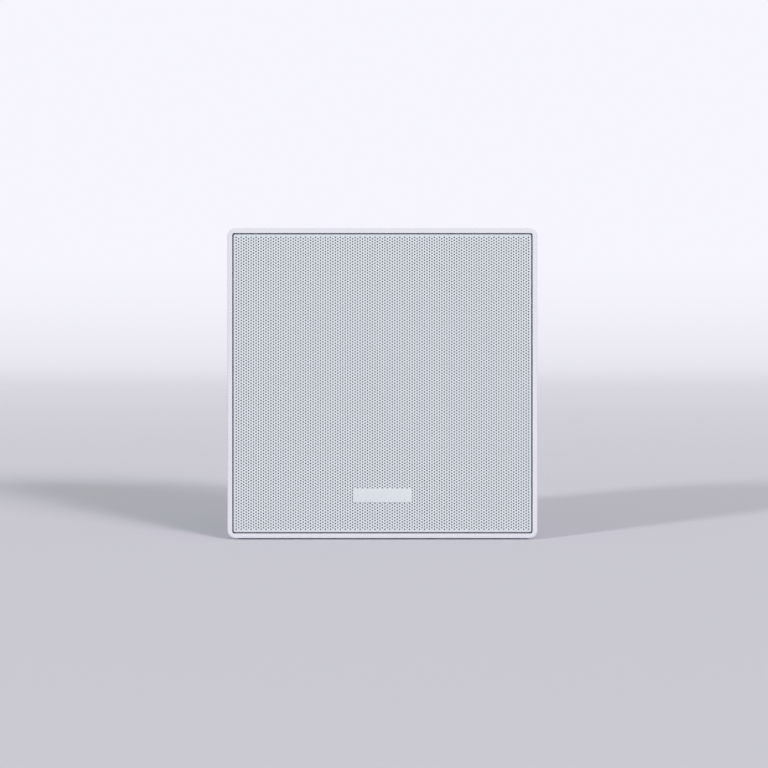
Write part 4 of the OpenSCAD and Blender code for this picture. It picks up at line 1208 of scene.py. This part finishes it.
sheath = new_material("soft_sheath", SHEATH_COLOUR, 0.6)
add_drift(sheath, add_noise(sheath, 4.0), SHEATH_SHADE, 0.6)
add_bump(sheath, add_noise(sheath, 0.6), 0.02)
paint(sheath, "woofer_lead", "tweeter_lead")


# Foam lining
# Three sheets of open-cell foam with a waffled face are glued inside the side walls and the top.
# The side sheets are cut out round the pivot bosses.
FOAM_COLOUR = tint(92, 92, 96)
FOAM_SHADE = tint(52, 52, 55)
FOAM_T = 12.0
FOAM_L = 220.0
FOAM_CELLS = (88, 32)
FOAM_HOLE_D = 28.0
FOAM_HOLE_STEPS = 48
WAFFLE_PITCH = 20.0
WAFFLE_DEPTH = 2.5
WAFFLE_BORDER = 5.0

foam = new_material("open_foam", FOAM_COLOUR, 0.95)
cells = add_noise(foam, 1.4, 4.0)
add_drift(foam, cells, FOAM_SHADE, 1.0)
add_bump(foam, cells, 0.6)

lining_low, lining_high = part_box("damping_lining")
plug_low, plug_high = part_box("pivot_plugs")
lining_middle = (lining_low + lining_high) / 2
lining_w = (lining_high.y - lining_low.y) / MM
boss_middle = (plug_low + plug_high) / 2
foam_places = {
    "foam_left": (90, (lining_low.x, lining_middle.y, boss_middle.z)),
    "foam_right": (-90, (lining_high.x, lining_middle.y, boss_middle.z)),
    "foam_top": (180, (0, lining_middle.y, lining_high.z)),
}
for name, (turn, place) in foam_places.items():
    deselect_all()
    bpy.ops.mesh.primitive_grid_add(
        x_subdivisions=FOAM_CELLS[0], y_subdivisions=FOAM_CELLS[1], size=MM
    )
    pad = bpy.context.object
    pad.scale = (FOAM_L, lining_w, 1)
    settle(pad)
    for point in pad.data.vertices:
        across, along = point.co.x / MM, point.co.y / MM
        inside = min(FOAM_L / 2 - abs(across), lining_w / 2 - abs(along), WAFFLE_BORDER)
        hill = math.cos(math.tau * across / WAFFLE_PITCH) * math.cos(math.tau * along / WAFFLE_PITCH)
        point.co.z = (FOAM_T + WAFFLE_DEPTH * inside / WAFFLE_BORDER * (hill - 1) / 2) * MM
    bpy.ops.object.mode_set(mode="EDIT")
    bpy.ops.mesh.select_all(action="SELECT")
    bpy.ops.mesh.extrude_region_move(TRANSFORM_OT_translate={"value": (0, 0, -FOAM_T * MM)})
    bpy.ops.transform.resize(value=(1, 1, 0), center_override=(0, 0, 0))
    bpy.ops.mesh.select_all(action="SELECT")
    bpy.ops.mesh.normals_make_consistent(inside=False)
    bpy.ops.object.mode_set(mode="OBJECT")
    pad.rotation_euler.y = math.radians(turn)
    pad.location = place
    settle(pad)
    deselect_all()
    bpy.ops.mesh.primitive_cylinder_add(
        vertices=FOAM_HOLE_STEPS,
        radius=FOAM_HOLE_D / 2 * MM,
        depth=1,
        location=boss_middle,
        rotation=(0, math.pi / 2, 0),
    )
    cutter = bpy.context.object
    hole = pad.modifiers.new("hole", "BOOLEAN")
    hole.object = cutter
    hole.solver = "EXACT"
    apply_modifiers(pad)
    bpy.data.objects.remove(cutter)
    smooth_by_angle(pad, 45)
    hand_over(pad, name, foam, stands_for=["damping_lining"])


# Threaded inserts
# Brass inserts with M6 threads are moulded into the back, and two more into the sides behind
# their white plugs.
THREAD = 1.0
THREADED = (("back_thread", "Y", "mounting_inserts"), ("side_thread", "X", "pivot_inserts"))

for name, axis, node in THREADED:
    threaded = new_material(name, BRASS_COLOUR, 0.3, metallic=1.0)
    add_bump(threaded, stripes(threaded, axis, THREAD), 0.3)
    add_gloss_drift(threaded, add_noise(threaded, 1.5), 0.22, 0.38)
    paint(threaded, node)


# Feet
# Four pads of black rubber are pressed into the underside.
paint(rubber, "rubber_feet")
